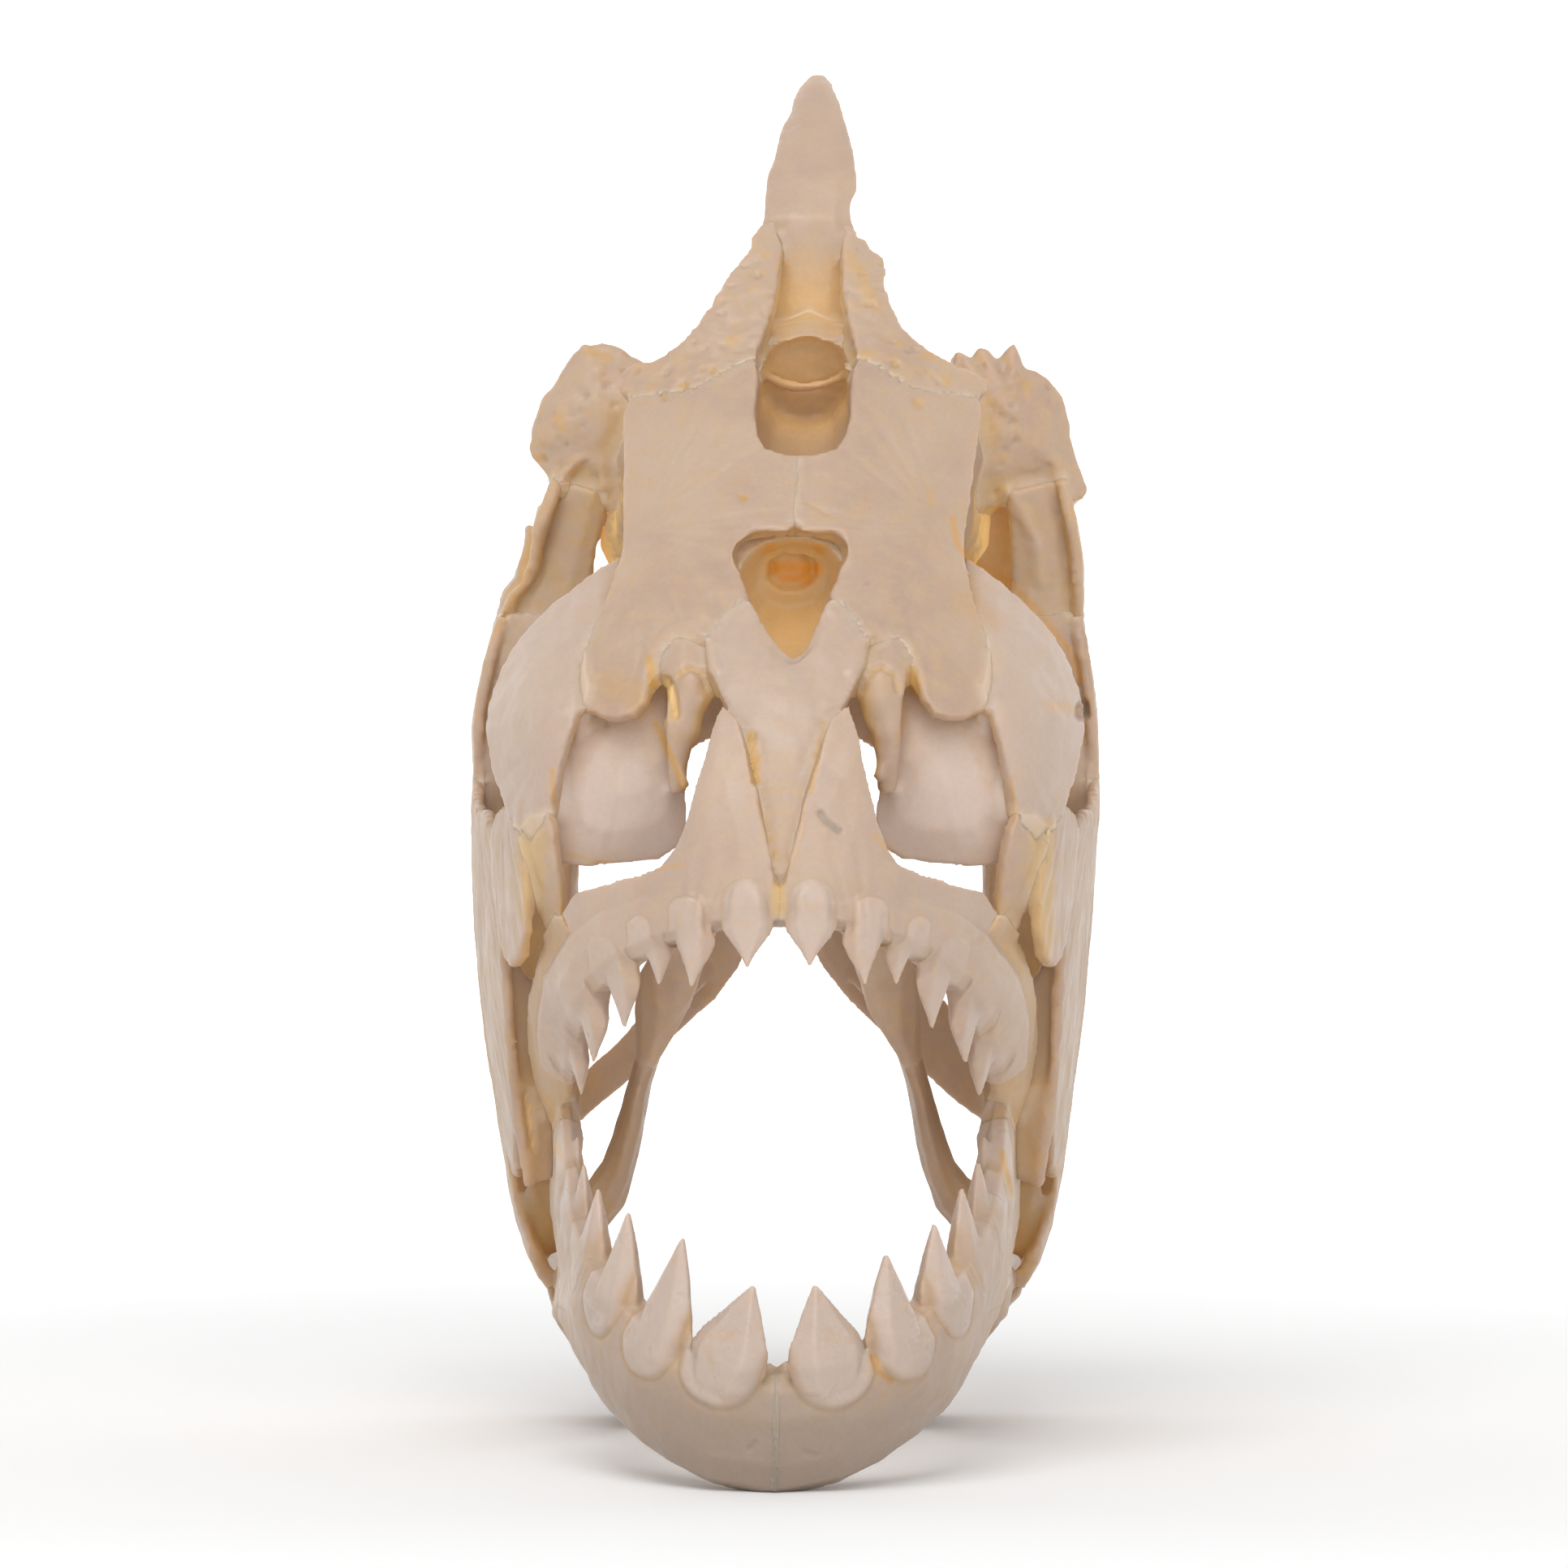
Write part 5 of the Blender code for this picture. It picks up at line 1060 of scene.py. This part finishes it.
def bone_material(name):
    """Dry, oily fish bone: pale and rosy outside, tan with painted shade and light in its hollows, with
    amber stains, painted shade and a painted glow.
    """
    made = Nodes(name)
    broad, medium, fine = made.noise(BROAD), made.noise(MEDIUM, 3.0), made.noise(FINE)
    colour = made.mix(made.span(broad, 0.35, 0.65), ROSE, IVORY)
    colour = made.mix(made.span(medium, 0.42, 0.72, 0.0, 0.65), colour, CREAM)
    # Paleness: the bone's own paler tone, and painted light on plates that lie in shade.
    colour = made.mix(made.value_of("pale"), colour, PALE_AND_LIT)
    # Painted shade and light through thin bone: hollows turn tan, the deepest deep tan.
    uneven = made.span(medium, 0.3, 0.8, -0.06, 0.06)
    hollow = made.math("ADD", made.value_of("recess"), uneven, clamp=True)
    colour = made.mix(made.span(hollow, 0.0, 0.6), colour, TAN_AND_SHADE)
    colour = made.mix(made.span(hollow, 0.5, 1.0), colour, DEEP_SHADE_TAN)
    # Overlays: painted light on seams, enamel, stains with painted shade, and painted deep and grey
    # shade.
    for attribute, tone in OVERLAYS.items():
        colour = made.mix(made.value_of(attribute), colour, tone)
    colour = made.mix(1.0, colour, made.span(fine, 0.2, 0.8, 0.97, 1.02), blend="MULTIPLY")
    grain = made.bump(made.noise(GRAIN, 3.0), 0.22, BUMP_DEPTH)
    normal = made.bump(made.span(made.spots(PORES), 0.0, 0.22), 0.10, BUMP_DEPTH, Normal=grain)
    smoother = made.math("MULTIPLY", made.value_of("enamel"), ENAMEL_SMOOTHER)
    roughness = made.math("SUBTRACT", made.span(medium, 0.25, 0.75, 0.36, 0.52), smoother)
    # Painted glow: an emission in the bone's colour, on hollows, on bone in shade and on seams.
    seam_painted_glow = made.math("MULTIPLY", made.value_of("seam"), SEAM_PAINTED_GLOW)
    glow = made.math("ADD", made.value_of("glow"), seam_painted_glow)
    made.shade(Base_Color=colour, Roughness=roughness, Normal=normal, Specular_IOR_Level=0.45)
    made.shade(Emission_Color=colour, Emission_Strength=made.math("MULTIPLY", glow, PAINTED_THROUGH_GLOW))
    made.shade(Subsurface_Weight=INSIDE, Subsurface_Scale=INSIDE_REACH * MM,
               Subsurface_Radius=INSIDE_SHARES)
    return made.made


def show(node, mesh, material):
    """Puts a bone's mesh in the scene as the piece that stands for its node."""
    write_places(mesh, read_mesh(mesh) * MM)
    mesh.materials.append(material)
    mesh.shade_smooth()
    piece = placed("bone_" + node, mesh)
    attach(piece, "root")
    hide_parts(node)


def dress():
    """Makes every bone's piece."""
    meshes = dressed_meshes()
    enclosed = enclosure(meshes)
    bone = bone_material("bone_surface")
    for node, mesh in meshes.items():
        paint(mesh, node, enclosed)
        show(node, mesh, bone)


# Studio

LENS, SENSOR = 149.07, 36.0
# The floor in front, across and behind, the curve up from it, and the wall's top.
FLOOR_FRONT, FLOOR_MIDDLE, FLOOR_BACK, FLOOR_HALF = -2600.0, -300.0, 700.0, 2600.0
SWEEP_RADIUS, SWEEP_STEPS, WALL_TOP = 500.0, 16, 2600.0
WHITE = (1.0, 1.0, 1.0)
# The paper's two whites, and the size of their patches.
PAPER, PAPER_PALER, PAPER_PATCH = (0.93, 0.93, 0.93), (0.935, 0.935, 0.935), 60.0
# The paper glows a little away from the skull, so that it stays white without brighter lamps.
GLOW, GLOW_NEAR, GLOW_FAR = 0.60, 50.0, 380.0
WORLD = 0.45
# Soft boxes: name, place in the part's frame, size and power, and the point that they face.
LAMPS = (("key", (-120, -420, 700), (500, 400), 2.6), ("front", (120, -640, 330), (500, 500), 1.3))
LAMPS_AIM = (0, 0, 50)


def backdrop():
    """A plain pale floor that curves up into a wall."""
    profile = [(FLOOR_FRONT, 0.0), (FLOOR_MIDDLE, 0.0), (FLOOR_BACK, 0.0)]
    for k in range(1, SWEEP_STEPS + 1):
        turn = math.pi / 2 * k / SWEEP_STEPS
        rise = SWEEP_RADIUS * (1 - math.cos(turn))
        profile.append((FLOOR_BACK + SWEEP_RADIUS * math.sin(turn), rise))
    profile.append((FLOOR_BACK + SWEEP_RADIUS, WALL_TOP))
    points = [(x * MM, y * MM, z * MM) for y, z in profile for x in (-FLOOR_HALF, FLOOR_HALF)]
    faces = [(2 * k, 2 * k + 1, 2 * k + 3, 2 * k + 2) for k in range(len(profile) - 1)]
    mesh = bpy.data.meshes.new("backdrop")
    mesh.from_pydata(points, [], faces)
    paper = Nodes("paper")
    tone = paper.mix(paper.span(paper.noise(PAPER_PATCH), 0.3, 0.7), PAPER, PAPER_PALER)
    away = paper.add("VectorMath", {0: paper.place})
    away.operation = "LENGTH"
    glow = paper.span(away.outputs["Value"], GLOW_NEAR, GLOW_FAR, 0.0, GLOW)
    paper.shade(Base_Color=tone, Roughness=0.9, Specular_IOR_Level=0.1, Emission_Strength=glow)
    paper.shade(Emission_Color=WHITE)
    mesh.materials.append(paper.made)
    mesh.shade_smooth()
    made = placed("backdrop", mesh)


def softbox(name, place, size, power):
    """A rectangular lamp that faces the skull."""
    lamp = bpy.data.lights.new(name, "AREA")
    lamp.shape = "RECTANGLE"
    lamp.size, lamp.size_y = (side * MM for side in size)
    lamp.energy = power
    made = placed(name, lamp)
    place, aim = Vector(place) * MM, Vector(LAMPS_AIM) * MM
    made.location = place
    made.rotation_euler = (aim - place).to_track_quat("-Z", "Y").to_euler()


def studio():
    """The backdrop, the even light of a white room, the lamps and the camera."""
    scene = bpy.context.scene
    backdrop()
    world = bpy.data.worlds.new("studio")
    world.use_nodes = True
    light = world.node_tree.nodes["Background"]
    light.inputs["Color"].default_value = (*WHITE, 1.0)
    light.inputs["Strength"].default_value = WORLD
    scene.world = world
    for lamp in LAMPS:
        softbox(*lamp)
    lens = bpy.data.cameras.new("camera")
    lens.lens = LENS
    lens.sensor_width = SENSOR
    lens.clip_start = 10 * MM
    camera = placed("camera", lens)
    camera.location = (TABLE_ORIGIN + (0, -CAMERA_DISTANCE, CAMERA_HEIGHT)) * MM
    camera.rotation_euler = (math.radians(90), 0, 0)
    scene.camera = camera
    scene.view_settings.view_transform = "Standard"


studio()
dress()
